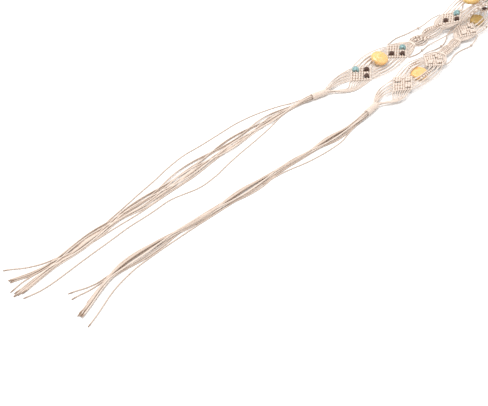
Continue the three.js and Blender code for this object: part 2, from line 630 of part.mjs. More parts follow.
// Fringe: locks that fan out on the surface from a head behind the wrap
function fringeSolid(locks, route, root) {
  const count = Math.round(FRINGE_LENGTH);
  const path = [{ x: root.point.x, y: root.point.y }];
  for (let i = 1; i <= count; i += 1) {
    const heading = THREE.MathUtils.degToRad(along(route, 'heading', i / count));
    const last = path[i - 1];
    path.push({ x: last.x + Math.cos(heading), y: last.y + Math.sin(heading) });
  }
  const head = new THREE.CylinderGeometry(0.86 * WRAP_DIAMETER / 2, 0.8 * WRAP_DIAMETER / 2, FRINGE_HEAD, 10);
  const away = new THREE.Vector3(path[4].x - path[0].x, path[4].y - path[0].y, 0).normalize();
  head.applyQuaternion(new THREE.Quaternion().setFromUnitVectors(new THREE.Vector3(0, 1, 0),
    away.clone().negate()));
  head.translate(root.point.x + away.x * (GAP + FRINGE_HEAD / 2),
    root.point.y + away.y * (GAP + FRINGE_HEAD / 2), root.point.z);
  let body = solid(head);
  for (const lock of locks) {
    const radius = CORD / 2 * (lock.cords === 1 ? 1 : 1.12 * Math.sqrt(lock.cords));
    const points = [];
    const shares = lock.cords === 1 ? 18 : 15;
    for (let i = 0; i <= shares; i += 1) {
      const share = lock.reach * i / shares;
      const index = Math.max(Math.round(share * count), 2);
      const spot = path[index];
      const heading = THREE.MathUtils.degToRad(along(route, 'heading', index / count) - 180);
      const aside = CORD * offsetAt(lock.offsets, i / shares);
      const drop = THREE.MathUtils.smoothstep(share, 0.005, 0.07);
      points.push(new THREE.Vector3(spot.x - Math.sin(heading) * aside, spot.y + Math.cos(heading) * aside,
        THREE.MathUtils.lerp(root.point.z, radius + HAIR, drop)));
    }
    body = body.add(solid(tube(points, radius, lock.cords === 1 ? 5 : 6, shares)));
  }
  return body;
}

// A motif with short edges where it goes round the roll
function supple(body, motif) {
  const nearest = Math.max(motif.start, -motif.start - motif.length, 0);
  if (nearest >= BEND_REACH) return fromSolid(body);
  return fromSolid(body.refineToLength(nearest < HALF_ROLL ? BEND_STEP : 1.6 * BEND_STEP));
}

// The belt, motif by motif
const SIDES = ['far', 'near'];
const diamonds = stations.filter((motif) => motif.kind === 'diamond')
  .map((motif) => ({ ...motif, width: motif.wide * DIAMOND_WIDTH }));
const links = stations.filter((motif) => motif.kind === 'link');

diamonds.forEach((diamond, index) => {
  const room = diamond.start === MIDDLE.start ? ROLL_ROOM : BEAD_ROOM;
  const body = diamondSolid(diamond.length, diamond.width, BEADS[index], room);
  const middle = diamond.start + diamond.length / 2;
  addPiece(`diamond_${index + 1}`, bend(supple(body, diamond), middle), FINISH.cord);
  BEADS[index].forEach(([seat, form, angle], order) => {
    const name = `${form === 'nugget' ? 'turquoise' : 'dark'}_bead_${index + 1}_${order + 1}`;
    addPiece(name, seatRigid(beadGeometry(form, angle), middle + seat[0] * diamond.length,
      seat[1] * diamond.width, BEAD_LIFT), FINISH[form]);
  });
});

stations.filter((motif) => motif.kind === 'arcs').forEach((motif, index) => {
  const before = diamonds.findLast((diamond) => diamond.start < motif.start);
  const after = diamonds.find((diamond) => diamond.start > motif.start);
  addPiece(`amber_cords_${index + 1}`,
    bend(supple(arcsSolid(motif.length, before, after, motif.wide), motif), motif.start), FINISH.cord);
  addPiece(`amber_${index + 1}`,
    bend(supple(amberSolid().translate([0, 0, AMBER_SEAT]), motif), motif.start + motif.length / 2),
    FINISH.amber);
});

links.forEach((link, index) => {
  const before = diamonds.findLast((diamond) => diamond.start < link.start);
  const after = diamonds.find((diamond) => diamond.start > link.start);
  [[before, 1], [after, -1]].forEach(([diamond, back], half) => {
    addPiece(`leaf_${2 * index + half + 1}`,
      bend(fromSolid(leafSolid(link.length, diamond, link.wide, back)), link.start), FINISH.cord);
  });
});

SIDE_STRANDS.forEach((row, index) => {
  addPiece(`side_strand_${index + 1}`, fromSolid(strandSolid(row, links[row.link])), FINISH.cord);
});

const ends = [
  { fan: stations[1], wrap: stations[0], diamond: diamonds[0], turn: 1, locks: FAR_LOCKS,
    route: FAR_FRINGE_ROUTE },
  { fan: stations.at(-2), wrap: stations.at(-1), diamond: diamonds.at(-1), turn: -1, locks: NEAR_LOCKS,
    route: NEAR_FRINGE_ROUTE },
];
ends.forEach((end, index) => {
  const fan = fromSolid(fanSolid(end.fan.length, end.diamond));
  if (end.turn < 0) fan.scale(-1, 1, 1).index.array.reverse();
  addPiece(`fan_${SIDES[index]}`, bend(fan, end.turn > 0 ? end.fan.start : end.fan.start + end.fan.length),
    FINISH.cord);
  addPiece(`wrap_${SIDES[index]}`, seatRigid(wrapGeometry(end.wrap.length),
    end.wrap.start + end.wrap.length / 2, 0, 0), FINISH.cord);
  const mouth = frameAt(end.turn > 0 ? end.wrap.start : end.wrap.start + end.wrap.length);
  addPiece(`fringe_${SIDES[index]}`, fromSolid(fringeSolid(end.locks, end.route, mouth)), FINISH.cord);
});

// The origin goes to the middle of the belt's footprint, on the surface
const box = new THREE.Box3().setFromObject(belt, true);
const centre = box.getCenter(new THREE.Vector3());
for (const mesh of belt.children) mesh.geometry.translate(-centre.x, -centre.y, -box.min.z);

export default belt;
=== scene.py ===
"""A knotted cord belt with beads and amber discs, folded once and lying on a pale surface."""

import math

import bpy
import numpy as np
from mathutils import Matrix, Vector


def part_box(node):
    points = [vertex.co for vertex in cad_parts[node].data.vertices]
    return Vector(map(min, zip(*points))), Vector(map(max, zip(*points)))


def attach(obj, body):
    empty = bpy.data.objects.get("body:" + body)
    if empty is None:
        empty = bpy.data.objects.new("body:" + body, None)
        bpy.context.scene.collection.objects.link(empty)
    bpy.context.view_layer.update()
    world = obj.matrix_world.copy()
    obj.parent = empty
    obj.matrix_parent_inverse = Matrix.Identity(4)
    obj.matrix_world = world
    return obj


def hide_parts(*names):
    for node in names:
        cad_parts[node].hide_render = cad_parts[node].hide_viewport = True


bl_info = {
    "name": "Knotted Cord Belt",
    "version": (1, 0, 0),
    "blender": (4, 5, 0),
    "location": "View3D > Sidebar > Belt",
    "description": "Ties a cord belt with beads, amber discs and fringes",
    "category": "Add Mesh",
}

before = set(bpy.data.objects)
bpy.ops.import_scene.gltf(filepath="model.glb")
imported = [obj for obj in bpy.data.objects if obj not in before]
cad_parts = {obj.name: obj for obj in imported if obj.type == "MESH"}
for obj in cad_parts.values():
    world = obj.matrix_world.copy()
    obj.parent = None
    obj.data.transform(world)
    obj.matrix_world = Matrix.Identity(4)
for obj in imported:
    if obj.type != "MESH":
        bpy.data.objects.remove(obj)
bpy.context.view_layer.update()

# Motifs from the far end to the near end: kind, share of its length, share of its width
MOTIFS = (
    ("wrap", 1, 1), ("fan", 1, 1), ("diamond", 1, 1), ("arcs", 1, 1), ("diamond", 1, 1), ("link", 1, 1),
    ("diamond", 1, 1), ("arcs", 1, 1), ("diamond", 1, 1), ("arcs", 1, 0.98), ("diamond", 0.92, 0.92),
    ("link", 0.82, 0.86), ("diamond", 0.9, 0.86), ("arcs", 1, 0.9), ("diamond", 0.92, 0.86),
    ("fan", 0.82, 1), ("wrap", 1, 1),
)

# Route of each half from the roll outwards: share of its length, heading and bank in degrees, height name
FAR_ROUTE = (
    (0, -15, 0, ("roll_top", 1)), (0.06, -15, 11, ("roll_top", 0.8)), (0.17, -8, 9, ("roll_top", 0.36)),
    (0.29, -2, 3, ("roll_top", 0.15)), (0.39, -7, 0, ("flat", 1)), (0.51, -4, 0, ("flat", 1)),
    (0.62, 0, 0, ("flat", 1)), (0.81, 0, 0, ("flat", 1)), (0.93, -13, 0, ("wrap", 1)),
    (1, -14, 0, ("wrap", 1)),
)
NEAR_ROUTE = (
    (0, 190, 0, ("amber", 1)), (0.065, 191, 0, ("amber", 1)), (0.18, 189, 0, ("bead", 1.15)),
    (0.3, 188, 0, ("bead", 0.75)), (0.39, 184, 0, ("bead", 0.75)), (0.5, 186, 0, ("bead", 1.2)),
    (0.62, 182, 0, ("amber", 1)), (0.74, 179, 0, ("bead", 1.1)), (0.86, 183, 0, ("wrap", 1)),
    (1, 186, 0, ("wrap", 1)),
)

# Route of each fringe from its wrap to its tips: share of its length, heading in degrees
FAR_FRINGE = (
    (0, 166), (0.08, 174), (0.15, 177), (0.23, 179), (0.33, 181), (0.45, 182), (0.6, 183), (0.68, 182),
    (0.76, 180), (0.82, 177), (0.88, 179), (1, 181),
)
NEAR_FRINGE = (
    (0, 186), (0.05, 180), (0.12, 177), (0.2, 176), (0.27, 175), (0.36, 177), (0.6, 177), (0.76, 179),
    (0.82, 187), (0.87, 194), (0.93, 197), (1, 200),
)

# Locks of each fringe: cords, share of the way where they end, sideways offsets along the way in cords
FAR_LOCKS = (
    (5, 0.96, ((0, 0.5), (0.1, 0.8), (0.2, 2), (0.33, 2.6), (0.45, 1.9), (0.55, 1.2), (0.65, 2.6),
               (0.74, 0.6), (0.82, -2.4), (0.895, -1.6), (0.93, 1.4), (0.96, 5.5))),
    (5, 0.97, ((0, -0.5), (0.1, -0.8), (0.2, -2.6), (0.33, -4.4), (0.45, -3.4), (0.55, -2.2), (0.65, 0),
               (0.76, -1.8), (0.82, -4), (0.87, -4.9), (0.9, -5.5), (0.94, -7.2), (0.97, -8.8))),
    (3, 0.958, ((0, 0), (0.2, -1.8), (0.33, -2.2), (0.5, -5), (0.6, -4.6), (0.67, -1.6), (0.76, -2.8),
                (0.82, -4.8), (0.88, -7), (0.958, -11))),
    (1, 0.952, ((0, 1), (0.03, 3), (0.1, 8.6), (0.165, 12.8), (0.23, 15), (0.3, 14.6), (0.365, 14.8),
                (0.42, 16), (0.48, 14), (0.53, 10.9), (0.59, 8.6), (0.646, 6), (0.69, 4), (0.754, 0.9),
                (0.822, -0.9), (0.856, 0), (0.887, 2.7), (0.923, 8.5), (0.952, 16.5))),
    (1, 0.957, ((0, -1), (0.1, -2), (0.14, -5), (0.17, -8), (0.245, -12), (0.31, -14.4), (0.36, -16.6),
                (0.41, -19.5), (0.467, -20), (0.51, -16), (0.547, -12.6), (0.603, -12.8), (0.675, -11.3),
                (0.726, -12.2), (0.786, -13.2), (0.851, -15.9), (0.899, -17.2), (0.938, -16.2),
                (0.957, -13.6))),
    (1, 0.969, ((0, -0.8), (0.3, -4), (0.45, -8), (0.55, -7), (0.63, -6.6), (0.7, -5), (0.8, -4.6),
                (0.88, -3), (0.926, -2.1), (0.957, -3.1), (0.969, -5))),
)
NEAR_LOCKS = (
    (12, 0.958, ((0, 0), (0.3, 0.1), (0.6, -0.5), (0.65, 0.5), (0.71, 1.8), (0.79, 1.9), (0.84, 2.6),
                 (0.88, 1.4), (0.92, -0.1), (0.958, -0.2))),
    (1, 0.966, ((0, -1), (0.08, -3), (0.13, -7.6), (0.2, -8.2), (0.26, -7), (0.33, -3.6), (0.42, -2.6),
                (0.6, -3.2), (0.72, -4), (0.8, -5), (0.835, -5.8), (0.871, -6.3), (0.913, -8.5),
                (0.945, -9.5), (0.966, -9.6))),
    (1, 0.923, ((0, 1), (0.3, 2.2), (0.5, 2.6), (0.7, 3), (0.8, 3.6), (0.857, 5.4), (0.888, 9.1),
                (0.909, 14.1), (0.923, 19.7))),
    (1, 0.93, ((0, 0.6), (0.3, 1), (0.6, 2.2), (0.8, 3), (0.85, 4), (0.881, 5.8), (0.909, 9.4), (0.93, 14))),
    (1, 0.922, ((0, 0), (0.4, -2.4), (0.7, 1.5), (0.84, 4), (0.9, 3), (0.922, 1.9))),
)

# How the cords of a lock lie beside and on each other: (across in cords, layer)
PACKING = {
    1: ((0, 0),),
    3: ((-0.5, 0), (0.5, 0), (0, 1)),
    5: ((-1, 0), (0, 0), (1, 0), (-0.5, 1), (0.5, 1)),
    12: ((-2, 0), (-1, 0), (0, 0), (1, 0), (2, 0), (-1.5, 1), (-0.5, 1), (0.5, 1), (1.5, 1),
         (-1, 2), (0, 2), (1, 2)),
}

# Beads of each diamond: seat as shares of its length and width, form, angle of the cord through it
RIGHT, LEFT, FAR_SIDE, NEAR_SIDE, MIDDLE = (0.25, 0), (-0.25, 0), (0, 0.27), (0, -0.27), (0, 0)
BEADS = (
    ((FAR_SIDE, "nugget", 45), (RIGHT, "barrel", -45), (NEAR_SIDE, "barrel", 45)),
    ((LEFT, "barrel", -45), (NEAR_SIDE, "barrel", 45), (RIGHT, "nugget", 45)),
    ((LEFT, "barrel", -45), (NEAR_SIDE, "barrel", -45), (RIGHT, "nugget", 45)),
    ((LEFT, "barrel", 90), (MIDDLE, "nugget", 90), (RIGHT, "barrel", 90)),
    ((RIGHT, "barrel", 45), (NEAR_SIDE, "barrel", -45), (LEFT, "nugget", 45)),
    ((RIGHT, "barrel", 45), (NEAR_SIDE, "barrel", -45), (LEFT, "nugget", 45)),
    ((FAR_SIDE, "nugget", 45), (LEFT, "barrel", 45), (NEAR_SIDE, "barrel", -45)),
)

# Loose strands: link, side, share where the small knot sits, points as shares (along, across, sag)
SIDE_STRANDS = (
    (0, 1, 0.62, ((-0.3, 0.82, 0), (0, 0.98, 0.2), (0.3, 0.94, 0.2), (0.62, 0.88, 0.2), (0.85, 0.86, 0.2),
                  (1.1, 0.9, 0.1), (1.3, 0.82, 0))),
    (0, -1, 0.16, ((-0.3, 0.82, 0), (-0.05, 0.9, 0.2), (0.16, 0.8, 0.2), (0.36, 0.68, 0.2), (0.7, 0.82, 0.2),
                   (1.05, 0.94, 0.1), (1.3, 0.82, 0))),
    (1, 1, 0.55, ((-0.34, 0.885, 0), (0, 0.9, 0.3), (0.3, 0.66, 0.6), (0.55, 0.6, 0.7), (0.8, 0.7, 0.6),
                  (1.1, 0.84, 0.3), (1.33, 0.83, 0))),
    (1, -1, 0.12, ((-0.34, 0.885, 0), (-0.1, 0.98, 0.3), (0.12, 0.94, 0.6), (0.34, 0.72, 0.7),
                   (0.66, 0.6, 0.6), (1.1, 0.84, 0.3), (1.33, 0.83, 0))),
)

# Rows of knots on the links: link, from and to as (share along, share across), number of knots
LINK_ROWS = (
    (0, (0.24, 0.7), (0.36, 0.5), 3), (0, (0.36, 0.5), (0.5, -0.8), 4), (0, (0.26, 0.2), (0.42, -0.4), 4),
    (0, (0.6, 0.55), (1.0, 0.2), 8),
    (1, (0.16, 0.75), (0.5, 0.75), 7), (1, (0.18, 0.05), (0.48, 0.05), 6),
    (1, (0.2, -0.65), (0.46, -0.65), 5), (1, (0.56, 0.75), (0.9, 0.75), 7),
    (1, (0.58, 0.05), (0.88, 0.05), 6), (1, (0.6, -0.65), (0.86, -0.65), 5),
)

# Rows of knots beside each amber: side, cord that carries them, number of knots, half reach in percent
AMBER_ROWS = ((), ((-1, 7, 8, 30),), ((-1, 7, 8, 30),), ((1, 3, 6, 20), (-1, 4, 7, 22)))

CORDS_PER_SIDE = 8

# Links, as shares of their length: start and span of each leaf, and the necks where the cords are gathered
LEAVES = ((0.11, 0.4), (0.51, 0.45))
NECKS = (0.13, 0.93)

# How wide the leaves of each link are beside the full leaf width
LEAF_SHARES = (1.0, 0.72)

# Coils of cord in knots: the half hitch, the flat ones over a hidden bead, a neck's tie and a strand's knot
KNOT_RADIUS = 0.0007
HITCH = {"turns": 2.6, "half_length": 0.0012, "wide": 0.00125, "tall": 0.00105, "waist": 0.6}
BACK_BAND = {"turns": 3.6, "half_length": 0.0019, "wide": 0.0021, "tall": 0.0003, "waist": 0.2}
BACK_HITCH = {**HITCH, "tall": 0.0003}
NECK_TIE = {"turns": 2.4, "half_length": 0.0015, "tall": 0.0013, "points": 18}
STRAND_KNOT = {"turns": 1.6, "half_length": 0.0008, "wide": 0.0013, "tall": 0.0012, "points": 14}

# Heights above the middle plane of the net: the flat coils, and on links and beside ambers the middle of a
# knot and the plane that its painted shade darkens towards
BAND_HEIGHT, BACK_HEIGHT = -0.0021, -0.0029
LINK_KNOTS = (0.0012, 0.0009)
ARC_KNOTS = (0.0011, 0.0008)

# Distances from that plane at which a knot would be painted dark, and at which it is fully light
KNOT_SHADE = (-0.0014, 0.001)

# How far a knot strays from its crossing, and how its turn and start vary
KNOT_STRAY, KNOT_TURN, KNOT_START = 0.0003, 0.25, 0.8

# Room that knots keep from a bead, and how far cords slip under its edge
BEAD_ROOM = 0.0004

# Hollows of shade between knots: height above the middle plane, and half size
NET_HOLLOW = (0.0007, 0.0011)
BACK_HOLLOW = (BACK_HEIGHT, 0.0009)
ROW_HOLLOW = (0.0022, 0.001)

# How light each kind of cord is drawn by painted shade: 1 is in full light, 0 is as dark as the crevices
PAINTED_SHADE_TONES = {"net": 0.7, "band": 0.7, "bead_thread": 0.5, "amber_thread": 0.45, "winding": 0.86, "core": 0.3,
         "strand": 0.4, "strand_knot": 0.55, "single": 0.5, "tip": 0.1}
# Painted shade of the cords in a lock, and how far it differs at random
LOCK_PAINTED_SHADE, LOCK_TONE_SPREAD = 0.72, 0.28

# Radius of a cord in cord diameters: loose in fans and fringes, bowed round an amber, as the thread through
# it, in a link, in a wrap and in a side strand's knot
LOOSE_RADIUS, BOWED_RADIUS, THREAD_RADIUS, LINK_RADIUS, WINDING_RADIUS = 0.47, 0.47, 0.35, 0.45, 0.49
STRAND_KNOT_RADIUS = 0.42

# Thread through a bead: its radius and how far it shows beyond the bead's ends
BEAD_THREAD, BEAD_THREAD_REACH = 0.0006, 0.0012

# A wrap: pitch of its turns in cord diameters, and how far the first and last turn keep from its ends
WINDING_PITCH = 1.02
WINDING_MARGIN = 0.0009

# How low the middle of a side strand's knot may lie
STRAND_KNOT_LOW = 0.0021

# A fan's cords: how far they reach into the wrap, and how far the lower ones hang aside: the innermost,
# and what the outermost adds
FAN_TUCK = 0.004
FAN_BELLY = (0.0125, 0.0075)

# How far a fan's upper cords bulge outwards, how far two of them lean together, and how far neighbours lie
# above and below the middle plane
FAN_BULGE, FAN_LEAN, FAN_LAYER = 0.0035, 0.0012, 0.0006

# Points along a fringe cord and along a side strand
FRINGE_POINTS = 160
STRAND_POINTS = 60

# Meander of the cords in a lock: where it starts and its half wave, as shares of the fringe, and its reach
# in cords, by chance and by the cord's place in the lock
MEANDER_START, HALF_WAVE = 0.04, 0.16
CHANCE_REACH, PLACE_REACH = 2.4, 1.5

# How much the tips of a lock differ, as a share of its reach, and height of a layer in cord diameters
TIP_SPREAD = 0.014
LAYER_HEIGHT = 0.87

# Steps to both sides over which a lock's offsets are averaged, so that it bends softly
NUDGES = (-0.018, -0.009, 0, 0.009, 0.018)

GOLDEN_ANGLE = 2.39996

# Seats of beads and ambers: an amber's underside above the net's middle plane, the height of its hole as a
# share of its thickness, and how flat a nugget is
AMBER_SEAT = 0.00155
HOLE_HEIGHT = 0.45
NUGGET_FLATNESS = 0.78

# Steps from a bead's band to its ends, and from an amber's rim to its crown: height as a share of the half
# length or thickness, and scale of the face
BEAD_SHOULDERS = ((0.45, 0.93), (0.3, 0.84))
AMBER_DOME = ((0.24, 0.86), (0.14, 0.72), (0.07, 0.55))

# Waves that make a nugget lumpy: radians per metre, depth as a share of its radius, and the distance from its
# axis within which the hole stays round
LUMP_WAVE = 420
LUMP_DEPTH = 0.02
HOLE_ROOM = 0.002

# Tilt of each amber about its hole, towards the near side, and how far its thread lifts it for that
AMBER_TILTS = (12, 0, 0, 0)
AMBER_LIFTS = (0.0024, 0.0, 0.0, 0.0)

# Painted shade on each amber from the fold's shadow: 1 is in full light and honey-coloured, 0 is a shaded
# olive
AMBER_FOLD_LIGHT = (1.0, 0.5, 0.3, 1.0)

# Camera: turn and height of its view in degrees, lens in mm, and where it stands
CAMERA_TURN, CAMERA_HEIGHT, CAMERA_LENS = -133.28, 48.11, 45.34
CAMERA_SPOT = (-0.4866, -0.4118, 0.5472)

# Lamps that face the middle of the frame: name, place, power, size
LAMPS = (("key", (-0.3, 0.5, 1.9), 37, 1.6), ("fill", (0.9, -0.9, 1.4), 5, 2.0))
SKY_STRENGTH = 0.7


class BeltSizes(bpy.types.PropertyGroup):
    cord: bpy.props.FloatProperty(name="Cord", description="Diameter of the cord", default=0.0016,
                                  min=0.0005, unit="LENGTH")
    hair: bpy.props.FloatProperty(name="Clearance", description="Small gap above the surface",
                                  default=0.0001, unit="LENGTH")
    diamond_length: bpy.props.FloatProperty(name="Diamond length", description="Tip to tip", default=0.05,
                                            unit="LENGTH")
    diamond_width: bpy.props.FloatProperty(name="Diamond width", description="Corner to corner", default=0.04,
                                           unit="LENGTH")
    amber_space: bpy.props.FloatProperty(name="Amber space", description="Tip to tip across an amber",
                                         default=0.034, unit="LENGTH")
    link_length: bpy.props.FloatProperty(name="Link length", description="Length of the two leaves",
                                         default=0.076, unit="LENGTH")
    link_neck: bpy.props.FloatProperty(name="Neck width", description="Width where a link is gathered",
                                       default=0.009, unit="LENGTH")
    leaf_width: bpy.props.FloatProperty(name="Leaf width", description="Width of a leaf", default=0.028,
                                        unit="LENGTH")
    fan_length: bpy.props.FloatProperty(name="Fan length", description="Wrap to first diamond", default=0.046,
                                        unit="LENGTH")
    belt_width: bpy.props.FloatProperty(name="Belt width", description="Widest place of the belt",
                                        default=0.052, unit="LENGTH")
    wrap_length: bpy.props.FloatProperty(name="Wrap length", description="Length of a wrap", default=0.026,
                                         unit="LENGTH")
    wrap_diameter: bpy.props.FloatProperty(name="Wrap diameter", description="Diameter of a wrap",
                                           default=0.0094, unit="LENGTH")
    fringe_length: bpy.props.FloatProperty(name="Fringe length", description="Wrap to tips", default=0.486,
                                           unit="LENGTH")
    barrel_diameter: bpy.props.FloatProperty(name="Bead diameter", description="Dark bead", default=0.007,
                                             unit="LENGTH")
    barrel_length: bpy.props.FloatProperty(name="Bead length", description="Dark bead", default=0.0066,
                                           unit="LENGTH")
    nugget_diameter: bpy.props.FloatProperty(name="Nugget diameter", description="Turquoise bead",
                                             default=0.01, unit="LENGTH")
    nugget_length: bpy.props.FloatProperty(name="Nugget length", description="Turquoise bead", default=0.0084,
                                           unit="LENGTH")
    bead_bore: bpy.props.FloatProperty(name="Bead hole", description="Hole through a bead", default=0.003,
                                       unit="LENGTH")
    bead_lift: bpy.props.FloatProperty(name="Bead lift", description="Bead middle above the work's middle",
                                       default=0.0022, unit="LENGTH")
    amber_diameter: bpy.props.FloatProperty(name="Amber diameter", description="Amber disc", default=0.0265,
                                            unit="LENGTH")
    amber_thickness: bpy.props.FloatProperty(name="Amber thickness", description="Amber disc", default=0.009,
                                             unit="LENGTH")
    amber_bore: bpy.props.FloatProperty(name="Amber hole", description="Diameter of the hole along the belt",
                                        default=0.001904, unit="LENGTH")
    roll_radius: bpy.props.FloatProperty(name="Roll radius", description="Radius of the fold", default=0.012,
                                         unit="LENGTH")
    net_thickness: bpy.props.FloatProperty(name="Net thickness", description="Thickness of knotted work",
                                           default=0.0036, unit="LENGTH")


class BeltColours(bpy.types.PropertyGroup):
    cord: bpy.props.FloatVectorProperty(name="Cord", description="Cotton cord in the light", subtype="COLOR",
                                        size=4, default=(0.92, 0.82, 0.73, 1))
    cord_shade: bpy.props.FloatVectorProperty(name="Cord shade", description="Between the plies",
                                              subtype="COLOR", size=4, default=(0.7, 0.53, 0.43, 1))
    # Colour of the painted shade between the knots and in the other crevices
    crevice_shade: bpy.props.FloatVectorProperty(name="Crevice", description="Between the knots", subtype="COLOR",
                                           size=4, default=(0.37, 0.24, 0.16, 1))
    amber: bpy.props.FloatVectorProperty(name="Amber", description="Honey yellow", subtype="COLOR", size=4,
                                         default=(0.85, 0.48, 0.16, 1))
    amber_cloud: bpy.props.FloatVectorProperty(name="Amber cloud", description="Milky places",
                                               subtype="COLOR", size=4, default=(0.9, 0.62, 0.27, 1))
    # Colour of the painted shade on the ambers in the fold's shadow
    amber_fold_shade: bpy.props.FloatVectorProperty(name="Dull amber", description="Olive of the discs by the fold",
                                              subtype="COLOR", size=4, default=(0.42, 0.3, 0.09, 1))
    turquoise: bpy.props.FloatVectorProperty(name="Turquoise", description="Blue-green stone",
                                             subtype="COLOR", size=4, default=(0.17, 0.38, 0.4, 1))
    turquoise_pale: bpy.props.FloatVectorProperty(name="Pale turquoise", description="Chalky places",
                                                  subtype="COLOR", size=4, default=(0.4, 0.58, 0.57, 1))
    turquoise_vein: bpy.props.FloatVectorProperty(name="Vein", description="Grey-brown matrix",
                                                  subtype="COLOR", size=4, default=(0.1, 0.13, 0.12, 1))
    dark: bpy.props.FloatVectorProperty(name="Dark bead", description="Dark brown", subtype="COLOR", size=4,
                                        default=(0.03, 0.012, 0.006, 1))
    dark_grain: bpy.props.FloatVectorProperty(name="Dark grain", description="Lighter grain",
                                              subtype="COLOR", size=4, default=(0.11, 0.05, 0.03, 1))
    ground: bpy.props.FloatVectorProperty(name="Surface", description="Surface that the belt lies on",
                                          subtype="COLOR", size=4, default=(0.93, 0.93, 0.93, 1))
    ground_light: bpy.props.FloatVectorProperty(name="Surface light", description="Lighter grain of it",
                                                subtype="COLOR", size=4, default=(0.95, 0.95, 0.95, 1))


class Wire:
    """A shader socket that takes part in arithmetic; each step is a Math node."""

    def __init__(self, tree, socket):
        self.tree = tree
        self.socket = socket

    def math(self, operation, *others):
        node = self.tree.nodes.new("ShaderNodeMath")
        node.operation = operation
        for slot, value in zip(node.inputs, (self, *others)):
            if isinstance(value, Wire):
                self.tree.links.new(value.socket, slot)
            else:
                slot.default_value = value
        return Wire(self.tree, node.outputs[0])

    def __add__(self, other):
        return self.math("ADD", other)

    def __mul__(self, other):
        return self.math("MULTIPLY", other)


class Finish:
    """One procedural material and the nodes that make it."""

    def __init__(self, name):
        self.material = bpy.data.materials.new(name)
        self.material.use_nodes = True
        self.tree = self.material.node_tree
        self.shader = self.tree.nodes["Principled BSDF"]

    def node(self, kind, settings=None, sockets=None, out=0):
        node = self.tree.nodes.new(kind)
        for key, value in (settings or {}).items():
            if key == "stops":
                ramp = node.color_ramp
                for index, (place, colour) in enumerate(value):
                    stop = ramp.elements[index] if index < 2 else ramp.elements.new(place)
                    stop.position = place
                    stop.color = colour
            else:
                setattr(node, key, value)
        for key, value in (sockets or {}).items():
            if isinstance(value, Wire):
                self.tree.links.new(value.socket, node.inputs[key])
            else:
                node.inputs[key].default_value = value
        return Wire(self.tree, node.outputs[out])

    def set(self, **sockets):
        for key, value in sockets.items():
            socket = self.shader.inputs[key.replace("_", " ").title().replace("Ior", "IOR")]
            if isinstance(value, Wire):
                self.tree.links.new(value.socket, socket)
            else:
                socket.default_value = value

    def blend(self, factor, first, second):
        return self.node("ShaderNodeMix", {"data_type": "RGBA"}, {0: factor, 6: first, 7: second}, out=2)


def cord_finish():
    """Soft twisted cotton: plies by the cord's own map with painted shade between, loose fibres, uneven dye.
    """
    if "cotton_cord" in bpy.data.materials:
        return bpy.data.materials["cotton_cord"]
    colours = bpy.context.scene.belt_colours
    finish = Finish("cotton_cord")
    uv = finish.node("ShaderNodeUVMap", {"uv_map": "UVMap"})
    length = finish.node("ShaderNodeSeparateXYZ", None, {0: uv}, out=0)
    around = finish.node("ShaderNodeSeparateXYZ", None, {0: uv}, out=1)
    phase = (around * 3.0 + length * 0.8) * math.pi
    ply = phase.math("SINE").math("ABSOLUTE").math("POWER", 0.6)
    place = finish.node("ShaderNodeTexCoord", out=3)
    fibre = finish.node("ShaderNodeTexNoise", None, {"Vector": place, "Scale": 2600.0, "Detail": 2.0})
    patch = finish.node("ShaderNodeTexNoise", None, {"Vector": place, "Scale": 90.0, "Detail": 2.0})
    blend = (ply * 0.5 + fibre * 0.25 + patch * 0.3 + 0.05).math("MINIMUM", 1.0)
    # Painted shade kept on each point, mixed with each cord's own lightness, darkens the cord towards the
    # crevice colour
    light = finish.node("ShaderNodeAttribute", {"attribute_name": "painted_shade_and_tone"}, out=2)
    # Painted shade between the plies, over fibres and patches of uneven dye
    skin = finish.blend(blend, tuple(colours.cord_shade), tuple(colours.cord))
    finish.set(base_color=finish.blend(light, tuple(colours.crevice_shade), skin),
               roughness=fibre * 0.15 + 0.75,
               normal=finish.node("ShaderNodeBump", None, {"Strength": 0.5, "Distance": 0.0003,
                                                           "Height": ply + fibre * 0.3}),
               sheen_weight=0.25, sheen_roughness=0.5)
    return finish.material


def amber_finish():
    """Cloudy honey amber: milky swirls under a polished skin, with painted shade on discs in the fold's
    shadow.
    """
    if "honey_amber" in bpy.data.materials:
        return bpy.data.materials["honey_amber"]
    colours = bpy.context.scene.belt_colours
    finish = Finish("honey_amber")
    place = finish.node("ShaderNodeTexCoord", out=3)
    swirl = finish.node("ShaderNodeTexNoise", None, {"Vector": place, "Scale": 110.0, "Detail": 4.0,
                                                     "Distortion": 1.5})
    cloud = finish.node("ShaderNodeMapRange", None, {"Value": swirl, 1: 0.35, 2: 0.7})
    scuff = finish.node("ShaderNodeTexNoise", None, {"Vector": place, "Scale": 900.0, "Detail": 3.0})
    # Painted shade of a disc that lies in the fold's shadow
    fold_light = finish.node("ShaderNodeAttribute", {"attribute_name": "fold_light"}, out=2)
    honey = finish.blend(cloud, tuple(colours.amber), tuple(colours.amber_cloud))
    finish.set(base_color=finish.blend(fold_light, tuple(colours.amber_fold_shade), honey),
               roughness=scuff * 0.2 + 0.16,
               normal=finish.node("ShaderNodeBump", None, {"Strength": 0.08, "Distance": 0.0003,
                                                           "Height": swirl}),
               subsurface_weight=0.35, subsurface_scale=0.006, coat_weight=0.4, coat_roughness=0.08)
    finish.shader.inputs["Subsurface Radius"].default_value = (1.0, 0.6, 0.2)
    return finish.material


